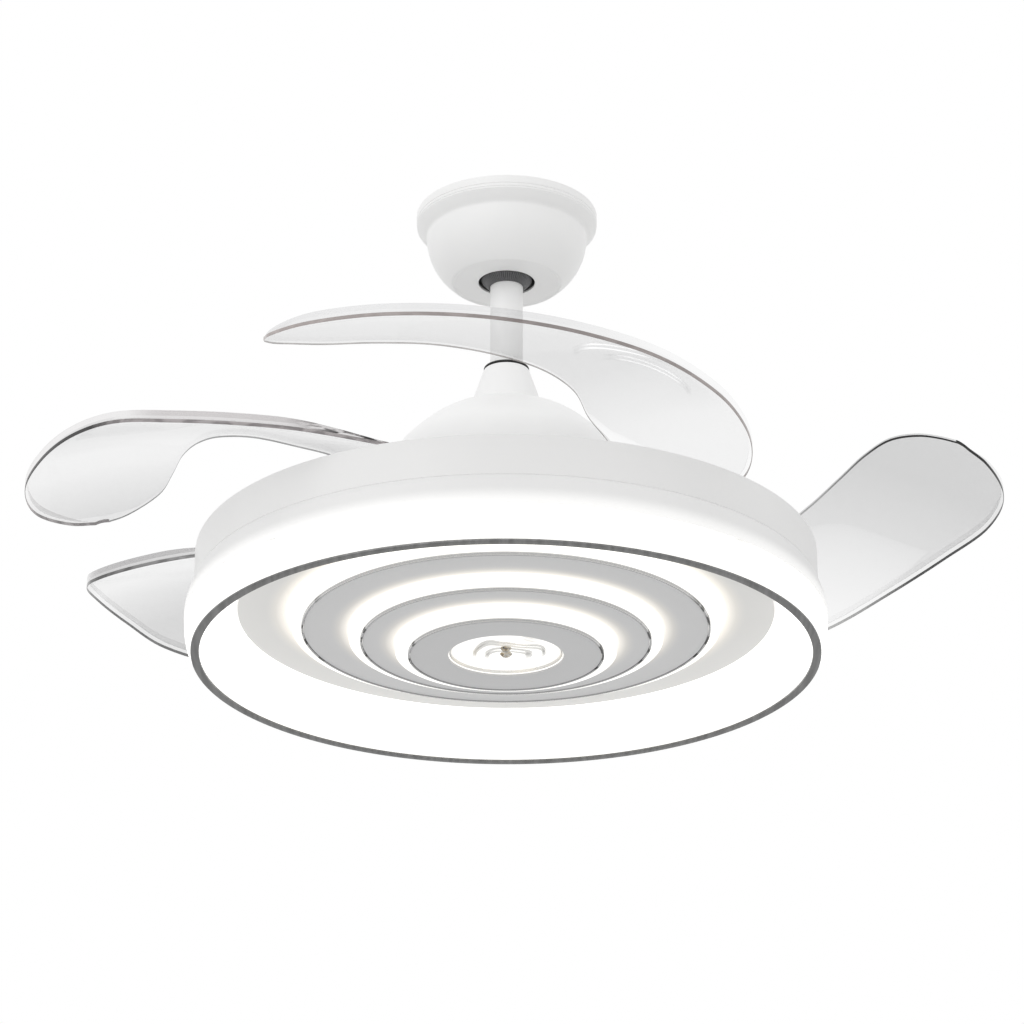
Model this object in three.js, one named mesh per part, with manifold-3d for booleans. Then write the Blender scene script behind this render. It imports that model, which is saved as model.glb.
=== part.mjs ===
// Ceiling fan with four retractable blades over a round ring lamp.
// Millimetres, +Z up. The origin is the middle of the face that lies against the ceiling.
// Heights are measured up from the lower face of the lamp's trim ring; one group lowers it all.
import * as THREE from "three";
import { mergeVertices } from "three/addons/utils/BufferGeometryUtils.js";
import Module from "manifold-3d";

const wasm = await Module();
wasm.setup();

// ---- driving dimensions -------------------------------------------------------------------

const ceilingHeight = 396; // from the trim ring's lower face to the ceiling
const seatGap = 0.3; // between two pieces that rest on each other
const runningGap = 0.4; // between a piece and the one it turns on

// canopy
const canopyRimRadius = 75;
const canopyShoulderRadius = 66.5;
const canopyFaceRadius = 45;
const canopySweep = 54; // degrees of the bowl's ellipse, which ends at the flat face's crease
const canopyHoleRadius = 23.3;
const canopyHeight = 62.6;
const canopyWall = 1.8;
const canopyRimHeight = 17;

// ceiling bracket and hanger ball
const bracketPlate = 2.5;
const bracketWidth = 34;
const bracketStrap = 2.5;
const bracketStrapWidth = 20;
const bracketTabDepth = 10;
const canopyScrewRadius = 2;
const canopyScrewHeadRadius = 3.4;
const canopyScrewLength = 12;
const canopyScrewInset = 0.4;
const ballRadius = 27;
const ballDrop = 35; // from the ceiling to the ball's middle
const ballTopAngle = 45; // degrees above its middle, where the ball is cut flat
const seatRingHeight = 5;
const seatRingWall = 7;
const collarNeckRadius = 18;
const collarRadius = 21;
const collarLowerRadius = 15;
const collarDrop = 3.7; // below the canopy's lower face
const collarTaperHeight = 6.5;
const anchorHoleRadius = 2.6;
const anchorHoleX = 56;
const anchorHoleY = 11.5;
const terminalX = -49;
const crossPinRadius = 2.5;
const receiverSize = [34, 22, 12];
const terminalSize = [24, 14, 11];

// downrod and its cone-shaped cover
const rodRadius = 13.5;
const rodWall = 2;
const rodTopAboveBall = 17;
const coneTopRadius = 18.8;
const coneBottomRadius = 30.5;
const coneHeight = 36;
const coneWall = 1.5;
const gasketThickness = 2;
const coverScrewRadius = 1.3;

// motor
const coverRadius = 93;
const coverSkirt = 15.5; // how far the cover's rim stays above the rotor's lower face
const coverShoulderDrop = 24.5; // below the rotor's upper face
const coverWaistDrop = 38.5;
const coverWall = 1.8;
const couplerRadius = 18;
const couplerLength = 46.5;
const couplerSocketDepth = 20;
const couplerClearance = 3; // above the rotor's upper face
const couplerFlangeRadius = 27;
const coneSeatRise = 18.5; // from the coupler's lower end to the cone's foot
const rodBoltRadius = 2.5;
const rodBoltHeadRadius = 4.5;
const rodBoltDrop = 12; // below the coupler's upper end
const shaftRadius = 9;
const shaftBore = 4.5;
const shaftCollarRadius = 15;
const shaftCollarHeight = 7;
const bearingRadius = 16;
const bearingHeight = 8;
const rotorRadius = 74;
const rotorWall = 3;
const rotorBottomHeight = 112.5;
const rotorHeight = 84;
const rotorLowerShell = 37.5;
const hubWall = 3.2;
const statorRadius = 62;
const statorHeight = 38;
const statorTeeth = 12;
const statorSlotWidth = 9;
const statorCoreRadius = 30;
const magnetThickness = 5;
const magnetHeight = 36;

// blade carrier, pivots and return springs
const carrierRadius = 134;
const carrierPlate = 3.5;
const carrierTopHeight = 101.5;
const carrierCollarRadius = 46;
const carrierCollarWall = 6;
const carrierHoleRadius = 17.5;
const bladeCount = 4;
const pivotCircleRadius = 121;
const firstPivotAngle = -25.8; // degrees round the fan's axis, of the blade nearest the viewer
const pinRadius = 4;
const pinHeadRadius = 7;
const pinHeadHeight = 3;
const hubRadius = 8;
const hubHeight = 20;
const armPlate = 2.4;
const armReach = 34;
const armRadius = 13;
const springWire = 1.4;
const springRadius = 11.2;
const springTurns = 3;
const springPitch = 2.4;
const springLeg = 14;

// blades: how far each one has swung out of the shared reference pose, in degrees
const restSwings = [-18.9, 0, 50, 7.8];
const bladeThickness = 3;
const bladeCamber = 4;
const bladeLipHeight = 7;
const bladeLipWidth = 2.4;
const bladeStations = 24;
const bladeSpans = 4;

// The blade's two edges as matching points from root to tip, in millimetres from its pivot:
// outer edge x, y and height, then inner edge x, y and height.
const bladeRibs = [
  [14, 17, 106, -16, 12, 106],
  [38, 3, 106, -16, -14, 106.5],
  [68, -19, 104.5, -9, -46, 115],
  [99, -58, 100, -2, -79, 130],
  [118, -104, 100, -10, -112, 143],
  [124, -152, 102, -11, -145, 151],
  [117, -200, 107, -25, -172, 158],
  [89, -243, 119, -56, -192, 167],
  [38, -281, 131, -100, -209, 175],
  [-28, -314, 139, -145, -221, 178],
  [-95, -335, 141.5, -182, -234, 176.5],
  [-155, -332, 145, -202, -252, 172],
  [-195, -308, 153, -210, -267, 167],
  [-208, -290, 159, -212, -279, 163.5],
];

// lamp housing
const lampRadius = 250; // to the trim ring's outer edge
const skirtOverhang = 6; // beyond the trim ring
const skirtFlare = 7; // beyond the drum's wall
const drumTopHeight = 87;
const drumCreaseHeight = 54;
const skirtBottomHeight = 28;
const drumSheet = 1.5;
const drumHoleRadius = 10;
const lampNutRadius = 15;
const lampNutHeight = 7;
const chassisHeight = 54;
const chassisSheet = 1.5;
const chassisRim = 8;
const driverSize = [56, 120, 22];
const driverOffset = 120;

// luminous ring, trim ring and floor
const trimWidth = 6.8;
const trimThickness = 2;
const diffuserWall = 2.5;
const diffuserBulgeHeight = 16;
const diffuserTurnHeight = 7;
const slopeFootInset = 10.2; // inside the trim ring
const slopeFootHeight = 19;
const slopeHeadReach = 6.6; // outside the floor
const slopeHeadHeight = 33.5;
const floorInset = 29.3; // inside the trim ring
const floorHeight = 38;
const floorPlate = 2;
const floorBossRadius = 17;
const boardInset = 9; // inside the drum's wall
const boardWidth = 18;
const boardThickness = 1.6;

// stepped discs under the floor, and how far inside each disc's edge its glowing band stands
const largeDiscRadius = 163;
const largeDiscHeight = 25;
const middleDiscRadius = 116;
const middleDiscHeight = 14.6;
const smallDiscRadius = 78;
const smallDiscHeight = 4;
const discHoleRadius = 14;
const bandInset = 11;
const discPlate = 2;
const discRimThickness = 1.6;
const discRimHeight = 3;
const discRimDrop = 0.6;
const bandWall = 3;

// crystal in the middle
const crystalRadius = 45;
const crystalDepth = 9;
const crystalWall = 2.2;
const stemRadius = 5.2;
const stemSides = 8;
const emitterRadius = 38;
const emitterThickness = 2;

// faces round a full turn
const mostFaces = 36;
const fewestFaces = 12;
const runningFaces = 24; // on bores that another piece turns in
const ballFaces = 32;

// ---- ways of making a solid ---------------------------------------------------------------

function material(colour, roughness, metalness, opacity = 1) {
  return new THREE.MeshStandardMaterial({
    color: colour,
    roughness,
    metalness,
    opacity,
    transparent: opacity < 1,
  });
}

const whitePaint = material(0xf2f2f1, 0.42, 0);
const satinGrey = material(0xc2c3c4, 0.45, 0.1);
const darkTrim = material(0x6e6f70, 0.4, 0.6);
const milkAcrylic = material(0xfffcf4, 0.35, 0);
const chrome = material(0xb9bcc0, 0.12, 1);
const steel = material(0x9a9da0, 0.35, 1);
const clearAcrylic = material(0xe9edee, 0.08, 0, 0.4);
const crystalGlass = material(0xf4f6f6, 0.05, 0, 0.5);
const blackRubber = material(0x161616, 0.8, 0);
const darkPolymer = material(0x4a4b4d, 0.6, 0);
const copper = material(0xb06a3a, 0.4, 1);
const magnetBlack = material(0x2b2b2d, 0.5, 0.4);
const boardWhite = material(0xe9ece6, 0.5, 0);
const terminalPlastic = material(0xdcdcd6, 0.5, 0);

// More faces on a larger circle, in steps of four so that neighbouring circles line up.
function facesFor(radius) {
  const wanted = 4 * Math.ceil((10 + radius / 6.5) / 4);
  return Math.min(mostFaces, Math.max(fewestFaces, wanted));
}

// A solid of revolution about Z from [radius, height] points, closed or from axis to axis.
function turned(profile, faces = facesFor(Math.max(...profile.map(([r]) => r)))) {
  let area = 0;
  profile.forEach(([r, h], i) => {
    const [nextR, nextH] = profile[(i + 1) % profile.length];
    area += r * nextH - nextR * h;
  });
  const loop = area > 0 ? profile : [...profile].reverse();
  const points = loop.map(([r, h]) => new THREE.Vector2(r, h));
  if (!loop.some(([r]) => r === 0)) points.push(points[0].clone());
  else while (points[0].x !== 0 || points.at(-1).x !== 0) points.push(points.shift());
  return new THREE.LatheGeometry(points, faces).rotateX(Math.PI / 2);
}

// A tube wall between two radii.
function ring(innerRadius, outerRadius, bottom, top, faces = facesFor(outerRadius)) {
  const profile = [
    [innerRadius, bottom],
    [outerRadius, bottom],
    [outerRadius, top],
    [innerRadius, top],
  ];
  return turned(profile, faces);
}

// A round bar along Z.
function bar(radius, bottom, top, faces = facesFor(radius)) {
  const height = top - bottom;
  const shape = new THREE.CylinderGeometry(radius, radius, height, faces);
  return shape.rotateX(Math.PI / 2).translate(0, 0, bottom + height / 2);
}

function block(width, depth, height, x, y, bottom) {
  return new THREE.BoxGeometry(width, depth, height).translate(x, y, bottom + height / 2);
}

function solidOf(geometry) {
  const bare = geometry.clone();
  for (const name of Object.keys(bare.attributes)) {
    if (name !== "position") bare.deleteAttribute(name);
  }
  const merged = mergeVertices(bare, 1e-3);
  return new wasm.Manifold(
    new wasm.Mesh({
      numProp: 3,
      vertProperties: new Float32Array(merged.attributes.position.array),
      triVerts: new Uint32Array(merged.index.array),
    }),
  );
}

function geometryOf(solid) {
  const mesh = solid.getMesh();
  const geometry = new THREE.BufferGeometry();
  geometry.setAttribute("position", new THREE.BufferAttribute(mesh.vertProperties, 3));
  geometry.setIndex(new THREE.BufferAttribute(mesh.triVerts, 1));
  return geometry;
}

function joined(first, ...others) {
  return geometryOf(others.reduce((sum, other) => sum.add(solidOf(other)), solidOf(first)));
}

function cut(base, ...tools) {
  return geometryOf(tools.reduce((rest, tool) => rest.subtract(solidOf(tool)), solidOf(base)));
}

function named(name, geometry, look, parent) {
  const mesh = new THREE.Mesh(geometry, look);
  mesh.name = name;
  parent.add(mesh);
  return mesh;
}

// ---- canopy, bracket and hanger ball --------------------------------------------------------

const fan = new THREE.Group();
fan.position.z = -ceilingHeight;

const canopyBottom = ceilingHeight - canopyHeight;
const ballCentreHeight = ceilingHeight - ballDrop;
const screwHeight = ceilingHeight - bracketTabDepth / 2 - bracketPlate / 2;
const canopyClearRadius = (canopyRimRadius - canopyWall) * Math.cos(Math.PI / mostFaces) - seatGap;
const tabFaceRadius = Math.sqrt(canopyClearRadius ** 2 - (bracketWidth / 2) ** 2);
const plateUnderside = ceilingHeight - bracketPlate;
const ballSeatTop = ballCentreHeight - ballRadius * 0.42;

// The bowl's outline falls as part of an ellipse from the stepped rim to the flat lower face.
function canopyBowl(inset, steps) {
  const bowlTop = ceilingHeight - canopyRimHeight - 3;
  const floor = canopyBottom + inset;
  const sweep = (canopySweep * Math.PI) / 180;
  const points = [];
  for (let i = 0; i <= steps; i++) {
    const angle = (i / steps) * sweep;
    const out = (Math.cos(angle) - Math.cos(sweep)) / (1 - Math.cos(sweep));
    const down = Math.sin(angle) / Math.sin(sweep);
    const radius = canopyFaceRadius + (canopyShoulderRadius - canopyFaceRadius) * out;
    points.push([radius - inset, bowlTop - (bowlTop - floor) * down]);
  }
  return points;
}

function canopyShell() {
  const profile = [
    [canopyRimRadius - canopyWall, ceilingHeight],
    [canopyRimRadius, ceilingHeight],
    [canopyRimRadius, ceilingHeight - canopyRimHeight * 0.45],
    [canopyRimRadius - 2.2, ceilingHeight - canopyRimHeight * 0.8],
    [canopyShoulderRadius + 1.6, ceilingHeight - canopyRimHeight - 1],
    ...canopyBowl(0, 5),
    [canopyHoleRadius, canopyBottom],
    [canopyHoleRadius, canopyBottom + canopyWall],
    ...canopyBowl(canopyWall, 3).reverse(),
    [canopyShoulderRadius + 0.3, ceilingHeight - canopyRimHeight + canopyWall * 0.3],
    [canopyRimRadius - 2.2 - canopyWall * 0.95, ceilingHeight - canopyRimHeight * 0.8 + canopyWall * 0.5],
    [canopyRimRadius - canopyWall, ceilingHeight - canopyRimHeight * 0.45],
  ];
  const holes = [-1, 1].map((side) => countersunk(side, seatGap, canopyRimRadius + 5));
  return cut(turned(profile, mostFaces), ...holes);
}

// A countersunk screw's outline on either side of the canopy; grown by a gap, it cuts its own hole.
function countersunk(side, gap, end) {
  const start = canopyRimRadius - canopyScrewLength - gap;
  const shape = turned([
    [0, start],
    [canopyScrewRadius + gap, start],
    [canopyScrewRadius + gap, canopyRimRadius - canopyWall],
    [canopyScrewHeadRadius + gap, canopyRimRadius - canopyScrewInset],
    [canopyScrewHeadRadius + gap, end],
    [0, end],
  ]);
  return shape.rotateY((side * Math.PI) / 2).translate(0, 0, screwHeight);
}

// A flat plate with turned-down tabs for the canopy's screws and two straps down to the ball's seat.
function ceilingBracket() {
  const seatBottom = ballSeatTop - seatRingHeight;
  const clearRadius = ballRadius + runningGap;
  const seatRadius = (height) => Math.sqrt(clearRadius ** 2 - (ballCentreHeight - height) ** 2);
  const seatSteps = 4;
  const seatProfile = [];
  for (let i = 0; i <= seatSteps; i++) {
    const height = seatBottom + (seatRingHeight * i) / seatSteps;
    seatProfile.push([seatRadius(height), height]);
  }
  const ringRadius = seatRadius(ballSeatTop) + seatRingWall;
  seatProfile.push([ringRadius, ballSeatTop], [ringRadius, seatBottom]);
  const pieces = [turned(seatProfile, ballFaces)];
  const plateLength = 2 * tabFaceRadius;
  const strapX = ringRadius - bracketStrap / 2 - 1;
  for (const side of [-1, 1]) {
    const tabX = side * (tabFaceRadius - bracketPlate / 2);
    const tab = block(bracketPlate, bracketStrapWidth, bracketTabDepth, tabX, 0, ceilingHeight - bracketTabDepth);
    const strapHeight = ceilingHeight - seatBottom;
    pieces.push(tab, block(bracketStrap, bracketStrapWidth, strapHeight, side * strapX, 0, seatBottom));
  }
  const plate = block(plateLength, bracketWidth, bracketPlate, 0, 0, plateUnderside);
  const whole = joined(plate, ...pieces);
  const holes = [];
  for (const [sideX, sideY] of [[-1, -1], [-1, 1], [1, -1], [1, 1]]) {
    const hole = bar(anchorHoleRadius, plateUnderside - 1, ceilingHeight + 1);
    holes.push(hole.translate(sideX * anchorHoleX, sideY * anchorHoleY, 0));
  }
  const wireHole = bar(6, plateUnderside - 1, ceilingHeight + 1).translate(20, 0, 0);
  const screwHole = bar(canopyScrewRadius + seatGap, -canopyRimRadius, canopyRimRadius);
  return cut(whole, ...holes, wireHole, screwHole.rotateY(Math.PI / 2).translate(0, 0, screwHeight));
}

// The ball with its tapered lower collar, bored for the rod and for the cross pin.
function hangerBall() {
  const profile = [];
  const steps = 8;
  const collarStart = -Math.acos(collarNeckRadius / ballRadius);
  for (let i = 0; i <= steps; i++) {
    const angle = collarStart + ((THREE.MathUtils.degToRad(ballTopAngle) - collarStart) * i) / steps;
    profile.push([ballRadius * Math.cos(angle), ballCentreHeight + ballRadius * Math.sin(angle)]);
  }
  const bore = rodRadius + seatGap;
  const collarBottom = canopyBottom - collarDrop;
  const taperTop = collarBottom + collarTaperHeight;
  profile.push([bore, profile.at(-1)[1]], [bore, collarBottom], [collarLowerRadius, collarBottom]);
  profile.push([collarRadius, taperTop], [collarRadius, taperTop + 2]);
  const pinHole = bar(crossPinRadius + seatGap, -ballRadius - 1, ballRadius + 1).rotateY(Math.PI / 2);
  return cut(turned(profile, ballFaces), pinHole.translate(0, 0, ballCentreHeight));
}

named("ceiling_bracket", ceilingBracket(), steel, fan);
named("canopy", canopyShell(), whitePaint, fan);
const screwFace = canopyRimRadius - canopyScrewInset / 2;
named("canopy_screw_right", countersunk(1, 0, screwFace), steel, fan);
named("canopy_screw_left", countersunk(-1, 0, screwFace), steel, fan);
const receiverY = bracketWidth / 2 + receiverSize[1] / 2 + seatGap;
named(
  "remote_receiver",
  block(...receiverSize, 0, receiverY, ceilingHeight - seatGap - receiverSize[2]),
  terminalPlastic,
  fan,
);
named(
  "terminal_block",
  block(...terminalSize, terminalX, 0, plateUnderside - seatGap - terminalSize[2]),
  terminalPlastic,
  fan,
);

// ---- everything that hangs from the ball ----------------------------------------------------

const hanger = new THREE.Group();
fan.add(hanger);

function crossHole(radius, height) {
  return bar(radius, -40, 40).rotateY(Math.PI / 2).translate(0, 0, height);
}

const rotorTopHeight = rotorBottomHeight + rotorHeight;
const rotorSplitHeight = rotorBottomHeight + rotorLowerShell;
const couplerBottomHeight = rotorTopHeight + couplerClearance;
const couplerTopHeight = couplerBottomHeight + couplerLength;
const couplerFloorHeight = couplerTopHeight - couplerSocketDepth;
const rodBoltHeight = couplerTopHeight - rodBoltDrop;
const coneBottomHeight = couplerBottomHeight + coneSeatRise;
const coneTopHeight = coneBottomHeight + coneHeight;

const rodBottom = couplerFloorHeight + 2 * seatGap;
const rodTop = ballCentreHeight + rodTopAboveBall;
const rodTube = ring(rodRadius - rodWall, rodRadius, rodBottom, rodTop);
const rodHoles = [
  crossHole(crossPinRadius + seatGap, ballCentreHeight),
  crossHole(rodBoltRadius + seatGap, rodBoltHeight),
];
named("hanger_ball", hangerBall(), darkPolymer, hanger);
const crossPin = bar(crossPinRadius, -ballRadius + 3, ballRadius - 3).rotateY(Math.PI / 2);
named("ball_cross_pin", crossPin.translate(0, 0, ballCentreHeight), steel, hanger);
named("downrod", cut(rodTube, ...rodHoles), whitePaint, hanger);

const gasketBottom = coneTopHeight + seatGap;
named(
  "rod_gasket",
  ring(rodRadius + seatGap, coneTopRadius, gasketBottom, gasketBottom + gasketThickness),
  blackRubber,
  hanger,
);

const coneSlope = Math.atan2(coneBottomRadius - coneTopRadius, coneTopHeight - coneBottomHeight);
const coverScrewHeight = coneBottomHeight + 4;
const coverScrewAngle = (215 * Math.PI) / 180;
const coneRadiusAt = (height) => coneBottomRadius - (height - coneBottomHeight) * Math.tan(coneSlope);

function radialBar(radius, from, to) {
  return bar(radius, from, to, 12).rotateY(Math.PI / 2).rotateZ(coverScrewAngle).translate(0, 0, coverScrewHeight);
}

function yokeCover() {
  const lip = rodRadius + seatGap;
  const bottom = coneBottomHeight + seatGap;
  const shell = turned([
    [coneBottomRadius, bottom],
    [coneTopRadius, coneTopHeight - 1],
    [coneTopRadius - 0.8, coneTopHeight],
    [lip, coneTopHeight],
    [lip, coneTopHeight - coneWall],
    [coneTopRadius - coneWall, coneTopHeight - coneWall - 0.8],
    [coneBottomRadius - coneWall, bottom],
  ]);
  const reach = coneRadiusAt(coverScrewHeight);
  return cut(shell, radialBar(coverScrewRadius + seatGap, reach - 6, reach + 3));
}

named("yoke_cover", yokeCover(), whitePaint, hanger);
const screwReach = coneRadiusAt(coverScrewHeight);
named("yoke_cover_screw", radialBar(coverScrewRadius, screwReach - 5, screwReach + 0.6), steel, hanger);

function couplerBody() {
  const flangeTop = coneBottomHeight - coverWall - seatGap;
  const profile = [
    [shaftRadius + seatGap, couplerBottomHeight],
    [couplerRadius, couplerBottomHeight],
    [couplerRadius, flangeTop - 3],
    [couplerFlangeRadius, flangeTop - 3],
    [couplerFlangeRadius, flangeTop],
    [couplerRadius, flangeTop],
    [couplerRadius, couplerTopHeight],
    [rodRadius + seatGap, couplerTopHeight],
    [rodRadius + seatGap, couplerFloorHeight],
    [shaftRadius + seatGap, couplerFloorHeight],
  ];
  return cut(turned(profile), crossHole(rodBoltRadius + seatGap, rodBoltHeight));
}

named("motor_yoke", couplerBody(), steel, hanger);

function rodBolt() {
  const shank = bar(rodBoltRadius, -couplerRadius - 2, couplerRadius + seatGap + 0.5);
  const head = bar(rodBoltHeadRadius, couplerRadius + seatGap, couplerRadius + seatGap + 2.5, 6);
  return joined(shank, head).rotateY(Math.PI / 2).translate(0, 0, rodBoltHeight);
}

named("rod_bolt", rodBolt(), steel, hanger);

// The motor's cover: a dome that steps down to a straight wall. The dome's outline is written
// as shares of the way out and the way down from the cone's foot to the shoulder.
const domeShares = [
  [0, 0],
  [0.208, 0.087],
  [0.3824, 0.1957],
  [0.5568, 0.3478],
  [0.7296, 0.5543],
  [0.8304, 0.6848],
  [0.928, 0.8478],
];

function motorCover() {
  const shoulderHeight = rotorTopHeight - coverShoulderDrop;
  const waistHeight = rotorTopHeight - coverWaistDrop;
  const rimHeight = rotorBottomHeight + coverSkirt;
  const dome = domeShares.map(([out, down]) => [
    coneBottomRadius + (coverRadius - coneBottomRadius) * out,
    coneBottomHeight - (coneBottomHeight - shoulderHeight) * down,
  ]);
  const innerRadius = coverRadius - coverWall;
  return turned([
    [couplerRadius + 1, coneBottomHeight],
    ...dome,
    [coverRadius - coverWall * 0.67, shoulderHeight],
    [coverRadius, waistHeight],
    [coverRadius, rimHeight],
    [innerRadius, rimHeight],
    [innerRadius, waistHeight],
    ...dome.map(([radius, height]) => [radius - coverWall, height - coverWall]).reverse(),
    [couplerRadius + 1, coneBottomHeight - coverWall],
  ]);
}

named("motor_cover", motorCover(), whitePaint, hanger);

const lidTop = drumTopHeight;
const lidUnderside = drumTopHeight - drumSheet;
const shaftTop = couplerFloorHeight - 2;
const shaftBottom = chassisHeight + chassisSheet + 8;

named(
  "motor_shaft",
  turned([
    [shaftBore, shaftBottom],
    [shaftRadius, shaftBottom],
    [shaftRadius, lidTop + seatGap],
    [shaftCollarRadius, lidTop + seatGap],
    [shaftCollarRadius, lidTop + seatGap + shaftCollarHeight],
    [shaftRadius, lidTop + seatGap + shaftCollarHeight],
    [shaftRadius, shaftTop],
    [shaftBore, shaftTop],
  ], runningFaces),
  steel,
  hanger,
);

function toothedStator() {
  const outline = new THREE.Shape();
  const slotHalf = statorSlotWidth / 2;
  for (let i = 0; i < statorTeeth; i++) {
    const start = (i / statorTeeth) * 2 * Math.PI;
    const end = ((i + 1) / statorTeeth) * 2 * Math.PI;
    const outerHalf = Math.asin(slotHalf / statorRadius);
    const innerHalf = Math.asin(slotHalf / statorCoreRadius);
    for (const [angle, radius] of [
      [start + innerHalf, statorCoreRadius],
      [start + outerHalf, statorRadius],
      [(start + end) / 2, statorRadius],
      [end - outerHalf, statorRadius],
      [end - innerHalf, statorCoreRadius],
    ]) {
      const x = radius * Math.cos(angle);
      const y = radius * Math.sin(angle);
      if (i === 0 && angle < end - 5 * outerHalf && radius === statorCoreRadius) outline.moveTo(x, y);
      else outline.lineTo(x, y);
    }
  }
  outline.closePath();
  const hole = new THREE.Path();
  hole.absarc(0, 0, shaftRadius + seatGap, 0, 2 * Math.PI, true);
  outline.holes.push(hole);
  const middle = (rotorBottomHeight + rotorTopHeight) / 2;
  const geometry = new THREE.ExtrudeGeometry(outline, {
    depth: statorHeight,
    bevelEnabled: false,
    curveSegments: 12,
  });
  return geometry.translate(0, 0, middle - statorHeight / 2);
}

named("stator", toothedStator(), copper, hanger);

// ---- rotor ----------------------------------------------------------------------------------

const rotor = new THREE.Group();
hanger.add(rotor);

const bearingBore = shaftRadius + runningGap;
const shellBore = bearingRadius + seatGap;
const rotorMiddle = (rotorBottomHeight + rotorTopHeight) / 2;

function rotorShellTop() {
  return turned([
    [shellBore, rotorTopHeight - bearingHeight - 2],
    [shellBore, rotorTopHeight],
    [40, rotorTopHeight],
    [rotorRadius - 4, rotorTopHeight - 7],
    [rotorRadius, rotorTopHeight - 13],
    [rotorRadius, rotorSplitHeight],
    [rotorRadius - rotorWall, rotorSplitHeight],
    [rotorRadius - rotorWall, rotorTopHeight - 14],
    [rotorRadius - rotorWall - 3, rotorTopHeight - 10],
    [40, rotorTopHeight - rotorWall],
    [shellBore + hubWall, rotorTopHeight - rotorWall],
    [shellBore + hubWall, rotorTopHeight - bearingHeight - 2],
  ]);
}

function rotorShellBottom() {
  return turned([
    [shellBore, rotorBottomHeight],
    [rotorRadius, rotorBottomHeight],
    [rotorRadius, rotorSplitHeight - seatGap],
    [rotorRadius - rotorWall, rotorSplitHeight - seatGap],
    [rotorRadius - rotorWall, rotorBottomHeight + rotorWall],
    [shellBore + hubWall, rotorBottomHeight + rotorWall],
    [shellBore + hubWall, rotorBottomHeight + bearingHeight + 2],
    [shellBore, rotorBottomHeight + bearingHeight + 2],
  ]);
}

named("rotor_shell_top", rotorShellTop(), steel, rotor);
named("rotor_shell_bottom", rotorShellBottom(), steel, rotor);
const upperBearingTop = rotorTopHeight;
const lowerBearingBottom = rotorBottomHeight;
named(
  "bearing_upper",
  ring(bearingBore, bearingRadius, upperBearingTop - bearingHeight, upperBearingTop, runningFaces),
  steel,
  rotor,
);
named(
  "bearing_lower",
  ring(bearingBore, bearingRadius, lowerBearingBottom, lowerBearingBottom + bearingHeight, runningFaces),
  steel,
  rotor,
);
const magnetOuter = rotorRadius - rotorWall - seatGap;
named(
  "magnet_ring",
  ring(magnetOuter - magnetThickness, magnetOuter, rotorMiddle - magnetHeight / 2, rotorMiddle + magnetHeight / 2),
  magnetBlack,
  rotor,
);

const carrierBottom = carrierTopHeight - carrierPlate;
const collarTop = rotorBottomHeight - seatGap;

function bladeCarrier() {
  const plate = turned([
    [carrierHoleRadius, carrierBottom],
    [carrierRadius, carrierBottom],
    [carrierRadius, carrierTopHeight],
    [carrierCollarRadius, carrierTopHeight],
    [carrierCollarRadius, collarTop],
    [carrierCollarRadius - carrierCollarWall, collarTop],
    [carrierCollarRadius - carrierCollarWall, carrierTopHeight],
    [carrierHoleRadius, carrierTopHeight],
  ]);
  const holes = [];
  for (let i = 0; i < bladeCount; i++) {
    const hole = bar(pinRadius + seatGap, carrierBottom - 1, carrierTopHeight + 1);
    holes.push(hole.translate(pivotCircleRadius, 0, 0).rotateZ(pivotAngle(i)));
  }
  return cut(plate, ...holes);
}

// Blades are numbered clockwise, seen from above, from the one nearest the viewer.
function pivotAngle(index) {
  return THREE.MathUtils.degToRad(firstPivotAngle - (360 / bladeCount) * index);
}

named("blade_carrier", bladeCarrier(), satinGrey, rotor);

// ---- pivots, springs, arms and blades ---------------------------------------------------------

const armBottom = carrierTopHeight + seatGap;
const hubTop = armBottom + hubHeight;
const pinTop = hubTop + seatGap + pinHeadHeight;
const pinBottom = carrierBottom - seatGap - pinHeadHeight;

function pivotPin() {
  return turned([
    [0, pinBottom],
    [pinHeadRadius, pinBottom],
    [pinHeadRadius, pinBottom + pinHeadHeight],
    [pinRadius, pinBottom + pinHeadHeight],
    [pinRadius, pinTop - pinHeadHeight],
    [pinHeadRadius, pinTop - pinHeadHeight],
    [pinHeadRadius, pinTop - 1],
    [pinHeadRadius - 1, pinTop],
    [0, pinTop],
  ]);
}

// A hub that turns on the pin, with a plate that carries the blade's root.
function bladeArm() {
  const outline = new THREE.Shape();
  outline.absarc(0, 0, armRadius, 0, 2 * Math.PI, false);
  const hubDisc = new THREE.ExtrudeGeometry(outline, {
    depth: armPlate,
    bevelEnabled: false,
    curveSegments: fewestFaces,
  }).translate(0, 0, armBottom);
  const paddle = new THREE.Shape();
  paddle.moveTo(-armRadius + 3, 2);
  paddle.lineTo(armRadius - 2, 6);
  paddle.lineTo(armReach, -4);
  paddle.lineTo(armReach + 2, -14);
  paddle.lineTo(8, -armReach + 4);
  paddle.lineTo(-9, -armReach + 9);
  paddle.closePath();
  const plate = new THREE.ExtrudeGeometry(paddle, { depth: armPlate, bevelEnabled: false });
  const hub = bar(hubRadius, armBottom, hubTop);
  const whole = joined(hubDisc, plate.translate(0, 0, armBottom), hub);
  return cut(whole, bar(pinRadius + runningGap, armBottom - 1, hubTop + 1));
}

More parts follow.
